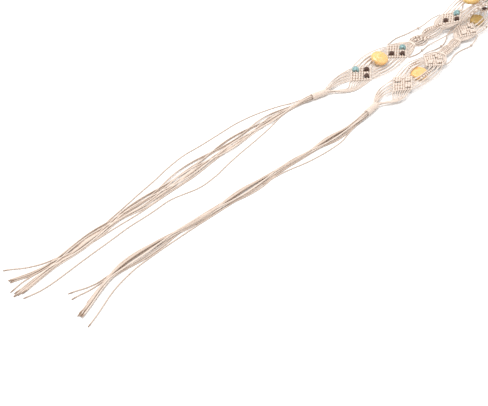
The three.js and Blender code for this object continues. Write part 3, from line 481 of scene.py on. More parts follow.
def stone_finish():
    """Tumbled turquoise with a fine dark matrix."""
    if "turquoise_stone" in bpy.data.materials:
        return bpy.data.materials["turquoise_stone"]
    colours = bpy.context.scene.belt_colours
    finish = Finish("turquoise_stone")
    place = finish.node("ShaderNodeTexCoord", out=3)
    cells = finish.node("ShaderNodeTexVoronoi", {"feature": "DISTANCE_TO_EDGE"},
                        {"Vector": place, "Scale": 320.0})
    vein = finish.node("ShaderNodeMapRange", None, {"Value": cells, 1: 0.0, 2: 0.12})
    mottle = finish.node("ShaderNodeTexNoise", None, {"Vector": place, "Scale": 420.0, "Detail": 4.0})
    pale = finish.blend(mottle, tuple(colours.turquoise), tuple(colours.turquoise_pale))
    finish.set(base_color=finish.blend(vein, tuple(colours.turquoise_vein), pale),
               roughness=mottle * 0.2 + 0.22,
               normal=finish.node("ShaderNodeBump", None, {"Strength": 0.3, "Distance": 0.0002,
                                                           "Height": vein + mottle * 0.4}))
    return finish.material


def dark_finish():
    """Polished dark brown bead with a faint grain along its hole."""
    if "dark_bead" in bpy.data.materials:
        return bpy.data.materials["dark_bead"]
    colours = bpy.context.scene.belt_colours
    finish = Finish("dark_bead")
    place = finish.node("ShaderNodeTexCoord", out=3)
    grain = finish.node("ShaderNodeTexNoise", None, {"Vector": place, "Scale": 700.0, "Detail": 5.0,
                                                     "Distortion": 0.8})
    streak = finish.node("ShaderNodeMapRange", None, {"Value": grain, 1: 0.45, 2: 0.75})
    finish.set(base_color=finish.blend(streak, tuple(colours.dark), tuple(colours.dark_grain)),
               roughness=grain * 0.15 + 0.34, specular_ior_level=0.25,
               normal=finish.node("ShaderNodeBump", None, {"Strength": 0.15, "Distance": 0.0002,
                                                           "Height": grain}))
    return finish.material


def surface_finish():
    """Matt pale surface with a trace of tooth."""
    colours = bpy.context.scene.belt_colours
    finish = Finish("pale_surface")
    place = finish.node("ShaderNodeTexCoord", out=3)
    tooth = finish.node("ShaderNodeTexNoise", None, {"Vector": place, "Scale": 300.0, "Detail": 3.0})
    finish.set(base_color=finish.blend(tooth, tuple(colours.ground), tuple(colours.ground_light)),
               roughness=0.9)
    return finish.material


def eased(rows, at, column=1):
    """Value of a column at places along rows, eased between them."""
    places = np.array([row[0] for row in rows], float)
    values = np.array([row[column] for row in rows], float)
    at = np.asarray(at, float)
    upper = np.clip(np.searchsorted(places, at), 1, len(places) - 1)
    share = np.clip((at - places[upper - 1]) / (places[upper] - places[upper - 1]), 0, 1)
    share = share * share * (3 - 2 * share)
    return values[upper - 1] + (values[upper] - values[upper - 1]) * share


def unit(vectors):
    return vectors / np.linalg.norm(vectors, axis=-1, keepdims=True)


class Lay:
    """Where the belt lies: its motifs in order, and its frame at each place along it.

    Places along the belt count from the middle of the fold. A motif's "seen" is 1 where its face is up and
    -1 in the half that shows its back.
    """

    ROLL_SKEW = math.radians(12.5)
    ROLL_HEADING = math.radians(-2.5)
    STEP = 0.001

    def __init__(self):
        sizes = bpy.context.scene.belt_sizes
        self.sizes = sizes
        lengths = {"wrap": sizes.wrap_length, "fan": sizes.fan_length, "diamond": sizes.diamond_length,
                   "arcs": sizes.amber_space, "link": sizes.link_length}
        self.motifs = []
        start = 0.0
        for kind, long, wide in MOTIFS:
            self.motifs.append({"kind": kind, "start": start, "length": lengths[kind] * long, "wide": wide,
                                "width": sizes.diamond_width * wide})
            start += lengths[kind] * long
        middle = self.of_kind("diamond")[3]
        centre = middle["start"] + middle["length"] / 2
        for motif in self.motifs:
            motif["start"] -= centre
            motif["seen"] = -1 if motif["start"] > 0 else 1
        amber_rest = AMBER_SEAT + sizes.amber_thickness + sizes.hair
        self.roll_bottom = amber_rest
        roll_top = amber_rest + 2 * sizes.roll_radius
        self.roll_length = math.pi * sizes.roll_radius / math.cos(self.ROLL_SKEW)
        self.half_roll = self.roll_length / 2
        heights = {"roll_top": roll_top, "flat": sizes.net_thickness / 2 + sizes.hair, "amber": amber_rest,
                   "bead": sizes.bead_lift + NUGGET_FLATNESS * sizes.nugget_diameter / 2 + sizes.hair,
                   "wrap": sizes.wrap_diameter / 2 + sizes.hair}
        out = np.array((math.cos(self.ROLL_HEADING), math.sin(self.ROLL_HEADING), 0))
        self.out, self.up = out, np.array((0.0, 0.0, 1.0))
        self.axis = np.cross(out, self.up)
        self.far = self.half(FAR_ROUTE, heights, -self.half_roll, centre - self.half_roll, -1)
        self.near = self.half(NEAR_ROUTE, heights, self.half_roll, start - centre - self.half_roll, 1)
        wrap = self.motifs[0]
        low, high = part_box("wrap_far")
        seen = np.array((low + high) / 2)
        self.shift = np.zeros(3)
        self.shift = seen - self.place(wrap["start"] + wrap["length"] / 2, 0, 0)

    def of_kind(self, kind):
        return [motif for motif in self.motifs if motif["kind"] == kind]

    def half(self, route, heights, roll_place, length, outward):
        """Frames of one half, stepped outwards from the roll."""
        rows = [(at, heading, bank, heights[name] * share) for at, heading, bank, (name, share) in route]
        count = math.ceil(round(length / self.STEP, 6)) + 5
        at = np.minimum(np.arange(count) * self.STEP / length, 1)
        heading, bank, height = (eased(rows, at, column) for column in (1, 2, 3))
        heading, bank = np.radians(heading), -np.radians(bank)
        half_step = 0.5 * self.STEP / length
        rise = outward * (eased(rows, np.minimum(at + half_step, 1), 3)
                          - eased(rows, np.maximum(at - half_step, 0), 3)) / self.STEP
        level = np.sqrt(np.maximum(1 - rise * rise, 0))
        tangent = np.stack((np.cos(heading) * level, np.sin(heading) * level, rise), 1)
        start = self.roll(np.array([roll_place]))[0][0]
        spots = np.vstack((start, start + np.cumsum(tangent * outward * self.STEP, axis=0)))[:-1]
        spots[:, 2] = height
        side = unit(np.cross(self.up, tangent))
        side[tangent[:, 0] < 0] *= -1
        face = unit(np.cross(tangent, side))
        cos, sin = np.cos(bank)[:, None], np.sin(bank)[:, None]
        side, face = (v * cos + np.cross(tangent, v) * sin for v in (side, face))
        return spots, tangent, side, face

    def roll(self, s):
        """A half turn of a skewed helix about a level axis."""
        turn = (np.pi * (s / self.roll_length + 0.5))[:, None]
        radius = self.sizes.roll_radius
        point = (np.array((0, 0, self.roll_bottom + radius)) + self.axis * radius
                 * math.tan(self.ROLL_SKEW) * turn + self.out * radius * np.sin(turn)
                 + self.up * radius * np.cos(turn))
        tangent = (self.axis * math.sin(self.ROLL_SKEW) + self.out * math.cos(self.ROLL_SKEW) * np.cos(turn)
                   - self.up * math.cos(self.ROLL_SKEW) * np.sin(turn))
        face = self.out * np.sin(turn) + self.up * np.cos(turn)
        return point, tangent, np.cross(face, tangent), face

    def frames(self, s):
        """Point, tangent, side and face at places along the belt."""
        s = np.atleast_1d(np.asarray(s, float))
        parts = [np.zeros((len(s), 3)) for _ in range(4)]
        inside = np.abs(s) <= self.half_roll
        for mask, table, distance in ((s < -self.half_roll, self.far, -self.half_roll - s),
                                      (s > self.half_roll, self.near, s - self.half_roll)):
            if mask.any():
                along = distance[mask] / self.STEP
                index = np.clip(np.floor(along).astype(int), 0, len(table[0]) - 2)
                share = (along - index)[:, None]
                for number, (part, column) in enumerate(zip(parts, table)):
                    mixed = column[index] * (1 - share) + column[index + 1] * share
                    part[mask] = unit(mixed) if number else mixed
        if inside.any():
            for part, value in zip(parts, self.roll(s[inside])):
                part[inside] = value
        return parts

    def place(self, s, t, h):
        """Points of the flat belt (along, across, above its middle plane) where they lie."""
        point, _, side, face = self.frames(s)
        t, h = np.atleast_1d(t)[:, None], np.atleast_1d(h)[:, None]
        found = point + side * t + face * h + self.shift
        return found if np.ndim(s) else found[0]

    def lie(self, flat):
        """A flat line (along, across, above) where it lies."""
        flat = np.asarray(flat, float)
        return self.place(flat[:, 0], flat[:, 1], flat[:, 2])

    def pose(self, s, t, h):
        """A rigid pose at one place: x along the belt, y across it, z out of its face."""
        point, tangent, side, face = (part[0] for part in self.frames(s))
        found = np.eye(4)
        found[:3, 0], found[:3, 1], found[:3, 2] = tangent, side, face
        found[:3, 3] = point + side * t + face * h + self.shift
        return Matrix(found.tolist())


class CordWork:
    """Cords swept into one mesh, each with its own map: along in cord diameters, and around.

    With a lay the cords are swept flat (along, across, above) and bent onto it at the end. Each cord carries
    painted shade mixed with its own lightness: one number, one for each point, or a pair of distances from a
    level plane, painted dark at the first and light at the second.
    """

    def __init__(self, lay=None):
        self.lay = lay
        self.spots, self.faces, self.maps, self.tones = [], [], [], []
        self.count = 0

    def sweep(self, points, radius, sides=8, painted_shade_and_tone=1.0, plane=0.0):
        points = np.asarray(points, float)
        total = len(points)
        tangent = unit(np.gradient(points, axis=0))
        normal = np.empty_like(points)
        start = np.cross(tangent[0], (0.13, 0.2, 1.0))
        normal[0] = start / np.linalg.norm(start)
        for index in range(1, total):
            along = tangent[index]
            carried = normal[index - 1] - along * (normal[index - 1] @ along)
            normal[index] = carried / math.sqrt(carried @ carried)
        other = np.cross(tangent, normal)
        turn = 2 * np.pi * np.arange(sides) / sides
        widths = np.full(total, float(radius))
        widths[[0, -1]] *= 0.6
        ring = normal[:, None] * np.cos(turn)[None, :, None] + other[:, None] * np.sin(turn)[None, :, None]
        skin = (points[:, None] + ring * widths[:, None, None]).reshape(-1, 3)
        self.spots.append(skin)
        # Painted shade: darker towards the level plane, where shade falls between the knots
        if isinstance(painted_shade_and_tone, tuple):
            self.tones.append(smoothstep(np.abs(skin[:, 2] - plane), *painted_shade_and_tone))
        else:
            self.tones.append(np.repeat(np.broadcast_to(np.asarray(painted_shade_and_tone, float), total), sides))
        reach = np.concatenate(([0], np.cumsum(np.linalg.norm(np.diff(points, axis=0), axis=1))))
        reach = reach / (2 * radius)
        row, column = np.meshgrid(np.arange(total - 1), np.arange(sides), indexing="ij")
        after = (column + 1) % sides
        quads = np.stack((row * sides + column, row * sides + after, (row + 1) * sides + after,
                          (row + 1) * sides + column), -1).reshape(-1, 4) + self.count
        low, high = column / sides, (column + 1) / sides
        here, there = reach[row], reach[row + 1]
        maps = np.stack((np.stack((here, low), -1), np.stack((here, high), -1), np.stack((there, high), -1),
                         np.stack((there, low), -1)), 2).reshape(-1, 2)
        self.faces.extend(quads.tolist())
        self.maps.append(maps)
        last = self.count + (total - 1) * sides
        self.faces.append(list(range(self.count + sides - 1, self.count - 1, -1)))
        self.faces.append(list(range(last, last + sides)))
        self.maps.append(np.full((2 * sides, 2), 0.5))
        self.count += total * sides

    def knot(self, centre, slant, lead=0.0, plane=0.0):
        """A half hitch laid twice round a cord that runs in the belt's plane."""
        # Drawn with painted shade that darkens towards the given plane
        self.sweep(coil(centre, slant, **HITCH, lead=lead), KNOT_RADIUS, 6, KNOT_SHADE, plane)

    def hollow(self, x, y, z, reach):
        """A small dark hollow between knots, drawn as a bead of shade."""
        self.sweep([(x - reach, y, z), (x, y, z), (x + reach, y, z)], reach, 6, 0.0)

    def finish(self, name, nodes):
        """The cords as one piece that stands for CAD nodes."""
        spots = np.vstack(self.spots)
        if self.lay:
            spots = self.lay.lie(spots)
        mesh = bpy.data.meshes.new(name)
        mesh.from_pydata(spots.tolist(), [], self.faces)
        layer = mesh.uv_layers.new(name="UVMap")
        layer.data.foreach_set("uv", np.vstack(self.maps).astype(np.float32).ravel())
        # Painted shade and each cord's own lightness, kept on each point
        painted_shade_and_tone = mesh.attributes.new("painted_shade_and_tone", "FLOAT", "POINT")
        painted_shade_and_tone.data.foreach_set("value", np.concatenate(self.tones).astype(np.float32))
        mesh.polygons.foreach_set("use_smooth", [True] * len(mesh.polygons))
        mesh.materials.append(cord_finish())
        mesh.update()
        piece = bpy.data.objects.new(name, mesh)
        bpy.context.scene.collection.objects.link(piece)
        return settle(piece, nodes)


def settle(piece, nodes):
    """Place a piece in the frame, with the nodes that it stands for."""
    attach(piece, "root")
    if nodes:
        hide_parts(*nodes)
    return piece


def coil(centre, direction, turns, half_length, wide, tall, lead=0.0, points=10, waist=0.0):
    """A coil about a direction in the belt's plane, with half width, half height and a drawn-in waist."""
    count = max(int(points * turns), 6)
    share = np.linspace(0, 1, count + 1)
    turn = 2 * np.pi * turns * share + lead
    along = (share * 2 - 1) * half_length
    x, y = math.cos(direction), math.sin(direction)
    across = np.cos(turn) * wide * (1 - waist * (share * 2 - 1) ** 2)
    return np.stack((centre[0] + x * along - y * across, centre[1] + y * along + x * across,
                     centre[2] + np.sin(turn) * tall), 1)


def cord_tone(number):
    """How light one cord is beside its neighbours, so that each can be told apart."""
    return 0.79 + 0.21 * math.sin(2.4 * number) * math.cos(0.9 * number)


def smoothstep(value, low, high):
    share = np.clip((np.asarray(value, float) - low) / (high - low), 0, 1)
    return share * share * (3 - 2 * share)


def curve(points, count):
    """An even smooth line through points, by centripetal steps."""
    points = np.asarray(points, float)
    padded = np.vstack((2 * points[0] - points[1], points, 2 * points[-1] - points[-2]))
    knots = np.concatenate(([0], np.cumsum(np.linalg.norm(np.diff(padded, axis=0), axis=1) ** 0.5)))
    found = []
    for value in np.linspace(knots[1], knots[-2], count):
        index = int(np.clip(np.searchsorted(knots, value, side="right") - 1, 1, len(padded) - 3))
        k = knots[index - 1:index + 3]
        p = padded[index - 1:index + 3]
        a = [p[i] * (k[i + 1] - value) / (k[i + 1] - k[i]) + p[i + 1] * (value - k[i]) / (k[i + 1] - k[i])
             for i in range(3)]
        b = [a[i] * (k[i + 2] - value) / (k[i + 2] - k[i]) + a[i + 1] * (value - k[i]) / (k[i + 2] - k[i])
             for i in range(2)]
        found.append(b[0] * (k[2] - value) / (k[2] - k[1]) + b[1] * (value - k[1]) / (k[2] - k[1]))
    return np.array(found)


def bead_reach(form):
    sizes = bpy.context.scene.belt_sizes
    if form == "nugget":
        return sizes.nugget_diameter / 2, sizes.nugget_length / 2
    return sizes.barrel_diameter / 2, sizes.barrel_length / 2


def edge_share(index):
    """Place of a cord along a diamond's edge, 0 at the tip and 1 at the wide corner."""
    return (index + 0.5) / CORDS_PER_SIDE


def diamond_work(lay, motif, beads, seed):
    """Knotted diamond: cords that cross in two slants, with rows of half hitches along one of them.

    The half that lies face down shows its back, where flatter knots cover the beads.
    """
    sizes = lay.sizes
    random = np.random.default_rng(seed)
    work = CordWork(lay)
    length, width = motif["length"], motif["width"]
    middle = motif["start"] + length / 2
    slant = math.atan2(width, length)

    def spot(a, b):
        """Place of a crossing, from its shares along the two edges."""
        return -length / 2 + (a + b) * length / 2, (a - b) * width / 2

    def taken(x, y, room):
        """Whether a bead sits here, with some room round it."""
        for seat, form, angle in beads:
            radius, half = bead_reach(form)
            turn = math.radians(angle)
            dx, dy = x - seat[0] * length, y - seat[1] * width
            u, v = dx * math.cos(turn) + dy * math.sin(turn), dy * math.cos(turn) - dx * math.sin(turn)
            if abs(u) < half + room and abs(v) < radius + room:
                return True
        return False

    def run(rising, q):
        """One cord right across the diamond, left out where a bead sits."""
        stretches = [[]]
        for share in np.linspace(-0.02, 1.02, 34):
            x, y = spot(share, q) if rising else spot(q, share)
            if taken(x, y, -BEAD_ROOM):
                stretches.append([])
            else:
                stretches[-1].append((middle + x, y, 0.0))
        for stretch in stretches:
            if len(stretch) > 3:
                # The net's cords are drawn in painted shade, as under the knots
                work.sweep(stretch, sizes.cord / 2, 6, PAINTED_SHADE_TONES["net"])

    shows_back = motif["seen"] < 0
    shares = [edge_share(index) for index in range(CORDS_PER_SIDE)]
    for rising in (True, False):
        for q in shares:
            run(rising, q)
    gaps = [(a + b) / 2 for a, b in zip(shares, shares[1:])]
    for a in gaps:
        for b in gaps[::2]:
            x, y = spot(a, b) if shows_back else spot(b, a)
            if not taken(x, y, 0.0):
                height, reach = NET_HOLLOW
                for face in (-1, 1):
                    work.hollow(middle + x, y, face * height, reach)
            elif shows_back:
                work.hollow(middle + x, y, *BACK_HOLLOW)
    for a in shares:
        for b in shares:
            x, y = spot(a, b)
            if not taken(x, y, BEAD_ROOM):
                jitter = random.uniform(-1, 1, 4)
                centre = (middle + x + jitter[0] * KNOT_STRAY, y + jitter[1] * KNOT_STRAY, 0.0)
                work.knot(centre, slant + jitter[2] * KNOT_TURN, KNOT_START * jitter[3] + 0.6)
            elif shows_back:
                band = coil((middle + x, y, BAND_HEIGHT), slant, **BACK_BAND)
                # The flat band is drawn in painted shade
                work.sweep(band, KNOT_RADIUS, 6, PAINTED_SHADE_TONES["band"])
                hitch = coil((middle + x, y, BACK_HEIGHT), slant, **BACK_HITCH, lead=0.6)
                work.sweep(hitch, KNOT_RADIUS, 6)
    for seat, form, angle in beads:
        _, half = bead_reach(form)
        turn = math.radians(angle)
        x, y = seat[0] * length, seat[1] * width
        # The thread rises beside the bead, runs through its hole and dips again
        reach = half + BEAD_THREAD_REACH
        rise = sizes.bead_lift
        line = [(middle + x + math.cos(turn) * u * reach, y + math.sin(turn) * u * reach, rise * h)
                for u, h in ((-1, 0.1), (-0.93, 0.7), (-0.82, 1), (0, 1), (0.82, 1), (0.93, 0.7), (1, 0.1))]
        # The thread is drawn in painted shade beside the bead
        work.sweep(line, BEAD_THREAD, 8, PAINTED_SHADE_TONES["bead_thread"])
    return work


def arc_flat(lay, motif, before, after, index, side, lift=0.0, count=34):
    """Flat line of one cord between two diamonds, bowed round the amber or led through it."""
    sizes = lay.sizes
    q = side * edge_share(index)
    space, size = motif["length"], abs(q)
    u = np.linspace(0, 1, count)
    x = -size * before["length"] / 2 * (1 - u) + (space + size * after["length"] / 2) * u
    rims = q * before["width"] / 2 * (1 - u) + q * after["width"] / 2 * u
    middle = q * (before["width"] + after["width"]) / 4
    if index == 0:
        crown, rise = side * 0.36 * sizes.cord, AMBER_SEAT + HOLE_HEIGHT * sizes.amber_thickness + lift
        near = np.abs(x - space / 2)
        high = 1 - smoothstep(near, sizes.amber_diameter / 2 + 0.0001, space / 2 + 0.0008)
        pinch = smoothstep(near, sizes.amber_diameter / 2, space / 2 + 0.001)
        return np.stack((motif["start"] + x, crown * (1 - pinch) + rims * pinch, rise * high), 1)
    # The others run in pairs, one above the other, the innermost pair under the amber's rim
    outer = sizes.belt_width / 2 * motif["wide"] - sizes.cord / 2
    inner = 0.7 * sizes.amber_diameter / 2
    pair = (index + 1) // 2
    above = 1 if index % 2 else -1
    crown = side * (inner + (outer - inner) * (pair - 1) / 3 - (0.3 if above < 0 else -0.1) * sizes.cord)
    bow = np.sin(np.pi * u)
    y = rims + (crown - middle) * bow ** (0.75 + 0.05 * pair)
    h = above * 0.42 * sizes.cord * np.minimum(1.6 * bow, 1)
    return np.stack((motif["start"] + x, y, h), 1)


def arcs_work(lay, motif, before, after, rows, lift):
    """Cords bowed round an amber in pairs, two led through it, and rows of knots beside it."""
    work = CordWork(lay)
    sizes = lay.sizes
    for side in (-1, 1):
        for index in range(CORDS_PER_SIDE):
            line = arc_flat(lay, motif, before, after, index, side, lift)
            # Each bowed cord has its own lightness; the thread through the amber is drawn in painted shade
            painted_shade_and_tone = cord_tone(index + 9 * (side > 0)) if index else PAINTED_SHADE_TONES["amber_thread"]
            work.sweep(line, sizes.cord * (BOWED_RADIUS if index else THREAD_RADIUS), 8, painted_shade_and_tone)
    seen = motif["seen"]
    height, plane = ARC_KNOTS
    for side, index, count, spread in rows:
        line = arc_flat(lay, motif, before, after, index, side, lift, 101)
        places = np.linspace(50 - spread, 50 + spread, count)
        for place in (places[1:] + places[:-1]) / 2:
            here = line[int(place)]
            work.hollow(here[0], here[1], seen * ROW_HOLLOW[0], ROW_HOLLOW[1])
        for place in places:
            here, there = line[int(place)], line[int(place) + 1]
            slant = math.atan2(there[1] - here[1], there[0] - here[0])
            work.knot((here[0], here[1], seen * height), slant, place, seen * plane)
    return work


def link_half_width(lay, link, share):
    """Half-width of a link: two lens-shaped leaves between gathered necks."""
    sizes = lay.sizes
    neck, leaf = sizes.link_neck / 2, sizes.leaf_width / 2 * link["leaf"]
    share = np.asarray(share, float)
    swell = sum(np.sin(np.pi * np.clip((share - start) / span, 0, 1)) ** 0.8 for start, span in LEAVES)
    base = neck * (1 + 0.7 * smoothstep(share, 0.3, 0.52) * link["leaf"])
    return base + (leaf - base) * swell


def link_flat(lay, link, before, after, index, side):
    """Flat line of one cord along a link, from the edge of one diamond to the edge of the next."""
    sizes = lay.sizes
    length = link["length"]
    q = edge_share(index)
    group, place = divmod(index, 3)
    gathered_q = (group + 0.6) / 3
    first, last = (share * length for share in NECKS)
    lines = []
    for corner, back, lead, diamond in ((0, 1, first, before), (length, -1, last, after)):
        u = np.linspace(0, 1, 12)
        edge = (corner - back * q * diamond["length"] / 2, q * diamond["width"] / 2)
        meet = gathered_q * float(link_half_width(lay, link, lead / length))
        bow = 0.002 * np.sin(np.pi * u) * q
        across = edge[1] + (meet - edge[1]) * u ** 1.25 + bow
        lines.append(np.stack((edge[0] + (lead - edge[0]) * u, across), 1))
    x = np.linspace(first, last, 50)[1:-1]
    body = np.stack((x, gathered_q * link_half_width(lay, link, x / length)), 1)
    flat = np.vstack((lines[0], body, lines[1][::-1]))
    past = smoothstep(flat[:, 0], 0.94 * length, 1.12 * length)
    inside = smoothstep(flat[:, 0], -0.1 * length, 0.12 * length) * (1 - past)
    layer = (place - 1) * 0.7 * inside
    nudge = (place - 1) * 0.35 * sizes.cord * inside
    return np.stack((link["start"] + flat[:, 0], side * (flat[:, 1] + nudge), layer * sizes.cord), 1)


def link_work(lay, link, before, after, number):
    """Two leaves of parallel cords with rows of knots, gathered at their necks."""
    work = CordWork(lay)
    sizes = lay.sizes
    link = {**link, "leaf": link["wide"] * LEAF_SHARES[number]}
    seen = link["seen"]
    height, plane = LINK_KNOTS
    for side in (-1, 1):
        for index in range(CORDS_PER_SIDE):
            line = link_flat(lay, link, before, after, index, side)
            work.sweep(line, LINK_RADIUS * sizes.cord, 8, cord_tone(index + 9 * (side > 0)))
    for row_link, start, end, count in LINK_ROWS:
        if row_link != number:
            continue
        shares = np.linspace(start[0], end[0], count)
        across = np.linspace(start[1], end[1], count) * link_half_width(lay, link, shares)
        for share, t in zip((shares[1:] + shares[:-1]) / 2, (across[1:] + across[:-1]) / 2):
            work.hollow(link["start"] + share * link["length"], t, seen * ROW_HOLLOW[0], ROW_HOLLOW[1])
        for k, (share, t) in enumerate(zip(shares, across)):
            ahead = min(k + 1, count - 1)
            prior = max(k - 1, 0)
            run = (shares[ahead] - shares[prior]) * link["length"]
            slant = math.atan2(across[ahead] - across[prior], run)
            centre = (link["start"] + share * link["length"], t, seen * height)
            work.knot(centre, slant, 0.5 * k, seen * plane)
    # Only the near link is tied at both necks
    for share in NECKS[:1] if number == 0 else NECKS:
        half = float(link_half_width(lay, link, share))
        tie = coil((link["start"] + share * link["length"], 0.0, 0.0), 0.0, wide=half, **NECK_TIE)
        work.sweep(tie, KNOT_RADIUS, 6)
    return work


def bundle_spots(count, radius):
    """Even places in a round bundle."""
    turns = np.arange(count) * GOLDEN_ANGLE
    reach = radius * np.sqrt((np.arange(count) + 0.5) / count)
    return np.stack((np.cos(turns) * reach, np.sin(turns) * reach), 1)


def fan_work(lay, fan, diamond, turn):
    """Cords spread from a wrap to the edges of the first diamond, in two groups with a gap."""
    work = CordWork(lay)
    sizes = lay.sizes
    length = fan["length"]
    spots = bundle_spots(2 * CORDS_PER_SIDE, 0.62 * sizes.wrap_diameter / 2)
    order = np.argsort(spots[:, 0])
    shares = sorted([side * edge_share(i) for side in (-1, 1) for i in range(CORDS_PER_SIDE)])
    start = fan["start"] if turn > 0 else fan["start"] + length
    for number, q in enumerate(shares):
        across, above = spots[order[number]]
        u = np.linspace(0, 1, 34)
        end = (length + abs(q) * diamond["length"] / 2, q * diamond["width"] / 2)
        x = -FAN_TUCK * (1 - u) + end[0] * u
        if q < 0:
            # The lower group hangs aside in a belly and comes back to its edge
            belly = np.sin(np.pi / 2 * np.clip(x / (0.95 * length), 0, 1)) ** 1.3
            low = -(FAN_BELLY[0] + FAN_BELLY[1] * abs(q)) * belly
            arrive = smoothstep(u, 0.56 + 0.16 * abs(q), 1.0)
            y = (across * (1 - smoothstep(u, 0.02, 0.3)) + low) * (1 - arrive) + end[1] * arrive
        else:
            # The upper group runs straighter, two and two leaning together
            spread = 1 - (1 - u) ** (1.8 + 0.6 * q)
            lean = (FAN_LEAN if number % 2 else -FAN_LEAN) * np.sin(np.pi * u) ** 0.8
            y = across * (1 - spread) + end[1] * spread + FAN_BULGE * np.sin(np.pi * u) - lean
        layer = FAN_LAYER * (1 if number % 2 else -1) * np.sin(np.pi * u)
        h = above * (1 - smoothstep(u, 0.0, 0.4)) + layer
        work.sweep(np.stack((start + turn * x, y, h), 1), LOOSE_RADIUS * sizes.cord, 8, cord_tone(number))
    return work


def wrap_work(lay, wrap):
    """One cord wound close round the gathered cords."""
    work = CordWork()
    sizes = lay.sizes
    turns = wrap["length"] / (WINDING_PITCH * sizes.cord)
    radius = sizes.wrap_diameter / 2 - sizes.cord / 2
    middle = wrap["start"] + wrap["length"] / 2
    half = wrap["length"] / 2 - WINDING_MARGIN
    line = coil((0.0, 0.0, 0.0), 0.0, turns, half, radius, radius, points=22)
    pose = np.array(lay.pose(middle, 0, 0))
    work.sweep(line @ pose[:3, :3].T + pose[:3, 3], WINDING_RADIUS * sizes.cord, 8, PAINTED_SHADE_TONES["winding"])
    # A core drawn in painted shade closes the wrap behind its turns
    core = np.stack((np.linspace(-0.5, 0.5, 6) * (wrap["length"] - 0.001), np.zeros(6), np.zeros(6)), 1)
    work.sweep(core @ pose[:3, :3].T + pose[:3, 3], radius - 0.1 * sizes.cord, 12, PAINTED_SHADE_TONES["core"])
    return work


def fringe_work(lay, locks, route, root, seed):
    """Single cords that lie in locks on the surface, and part towards their tips."""
    work = CordWork()
    sizes = lay.sizes
    random = np.random.default_rng(seed)
    count = int(round(sizes.fringe_length / lay.STEP))
    headings = np.radians(eased(route, np.arange(1, count + 1) / count))
    steps = np.stack((np.cos(headings), np.sin(headings)), 1) * lay.STEP
    path = np.vstack((root[:2], root[:2] + np.cumsum(steps, axis=0)))
    spots = bundle_spots(sum(lock[0] for lock in locks), 0.86 * sizes.wrap_diameter / 2)
    number = 0
    for cords, reach, offsets in locks:
        for across, layer in PACKING[cords]:
            first = spots[number]
            number += 1
            end = reach * (1 - TIP_SPREAD * random.uniform() * (cords > 1))
            share = end * np.linspace(0, 1, FRINGE_POINTS)
            place = share * count
            index = np.clip(np.floor(place).astype(int), 0, count - 1)
            part = (place - index)[:, None]
            spot = path[index] * (1 - part) + path[index + 1] * part
            heading = np.radians(eased(route, np.maximum(index, 1) / count)) - np.pi
            # Each cord meanders on its own, crosses its neighbours at the waists and frays towards the tip
            loose = smoothstep(share, 0.86, 1.0)
            swing = random.uniform(-1, 1, 3)
            wave = math.pi * (share - MEANDER_START) / HALF_WAVE + 0.5 * swing[1]
            wander = (CHANCE_REACH * swing[0] + PLACE_REACH * across) * np.sin(wave)
            wander = wander * (1 - 0.5 * smoothstep(share, 0.8, 0.9)) * (0.72 if cords > 5 else 1)
            wander = wander * smoothstep(share, 0.03, 0.16) * (cords > 1)
            # It comes out of the wrap's round bundle and settles on the surface in its lock
            gathered = 1 - smoothstep(share, 0.005, 0.09)
            lock_aside = sum(np.interp(share + nudge, *zip(*offsets)) for nudge in NUDGES) / len(NUDGES)
            aside = sizes.cord * (lock_aside + across * (0.8 + 0.8 * loose) + wander) * (1 - gathered)
            aside = aside + first[0] * gathered
            height = (sizes.cord / 2 + sizes.hair + layer * LAYER_HEIGHT * sizes.cord * (1 - 0.7 * loose)
                      + 0.0003 * layer)
            z = (root[2] + first[1]) * gathered + height * (1 - gathered)
            line = np.stack((spot[:, 0] - np.sin(heading) * aside, spot[:, 1] + np.cos(heading) * aside,
                             np.maximum(z, sizes.cord / 2 + sizes.hair)), 1)
            # Single cords are drawn in painted shade, locks in painted shade that differs at random, and the
            # tips darker
            light = PAINTED_SHADE_TONES["single"] if cords == 1 else LOCK_PAINTED_SHADE + LOCK_TONE_SPREAD * swing[2]
            painted_shade_and_tone = np.full(FRINGE_POINTS, light)
            painted_shade_and_tone[-2:] = PAINTED_SHADE_TONES["tip"]
            work.sweep(line, LOOSE_RADIUS * sizes.cord, 8, painted_shade_and_tone)
    return work


class BELT_OT_stage(bpy.types.Operator):
    """Pale surface, soft lights and the camera of the photograph"""
    bl_idname = "belt.stage"
    bl_label = "Stage"

    def execute(self, context):
        bpy.ops.object.select_all(action="DESELECT")
        bpy.ops.mesh.primitive_plane_add(size=12)
        floor = context.object
        floor.name = "surface"
        floor.data.materials.append(surface_finish())
        turn, rise = math.radians(CAMERA_TURN), math.radians(CAMERA_HEIGHT)
        back = Vector((math.cos(rise) * math.cos(turn), math.cos(rise) * math.sin(turn), math.sin(rise)))
        camera_data = bpy.data.cameras.new("camera")
        camera_data.lens, camera_data.sensor_width = CAMERA_LENS, 36.0
        camera_data.clip_start = 0.01
        camera = bpy.data.objects.new("camera", camera_data)
        stand = Matrix.Translation(CAMERA_SPOT)
        camera.matrix_world = stand @ back.to_track_quat("Z", "Y").to_matrix().to_4x4()
        context.scene.collection.objects.link(camera)
        context.scene.camera = camera
        for name, spot, energy, size in LAMPS:
            light = bpy.data.lights.new(name, "AREA")
            light.energy, light.size = energy, size
            lamp = bpy.data.objects.new(name, light)
            aim = Vector(spot).to_track_quat("Z", "Y").to_matrix().to_4x4()
            lamp.matrix_world = Matrix.Translation(spot) @ aim
            context.scene.collection.objects.link(lamp)
        world = bpy.data.worlds.new("soft_light")
        world.use_nodes = True
        sky = world.node_tree.nodes["Background"]
        sky.inputs["Color"].default_value = (1.0, 1.0, 1.0, 1)
        sky.inputs["Strength"].default_value = SKY_STRENGTH
        context.scene.world = world
        context.scene.view_settings.view_transform = "Standard"
        return {"FINISHED"}


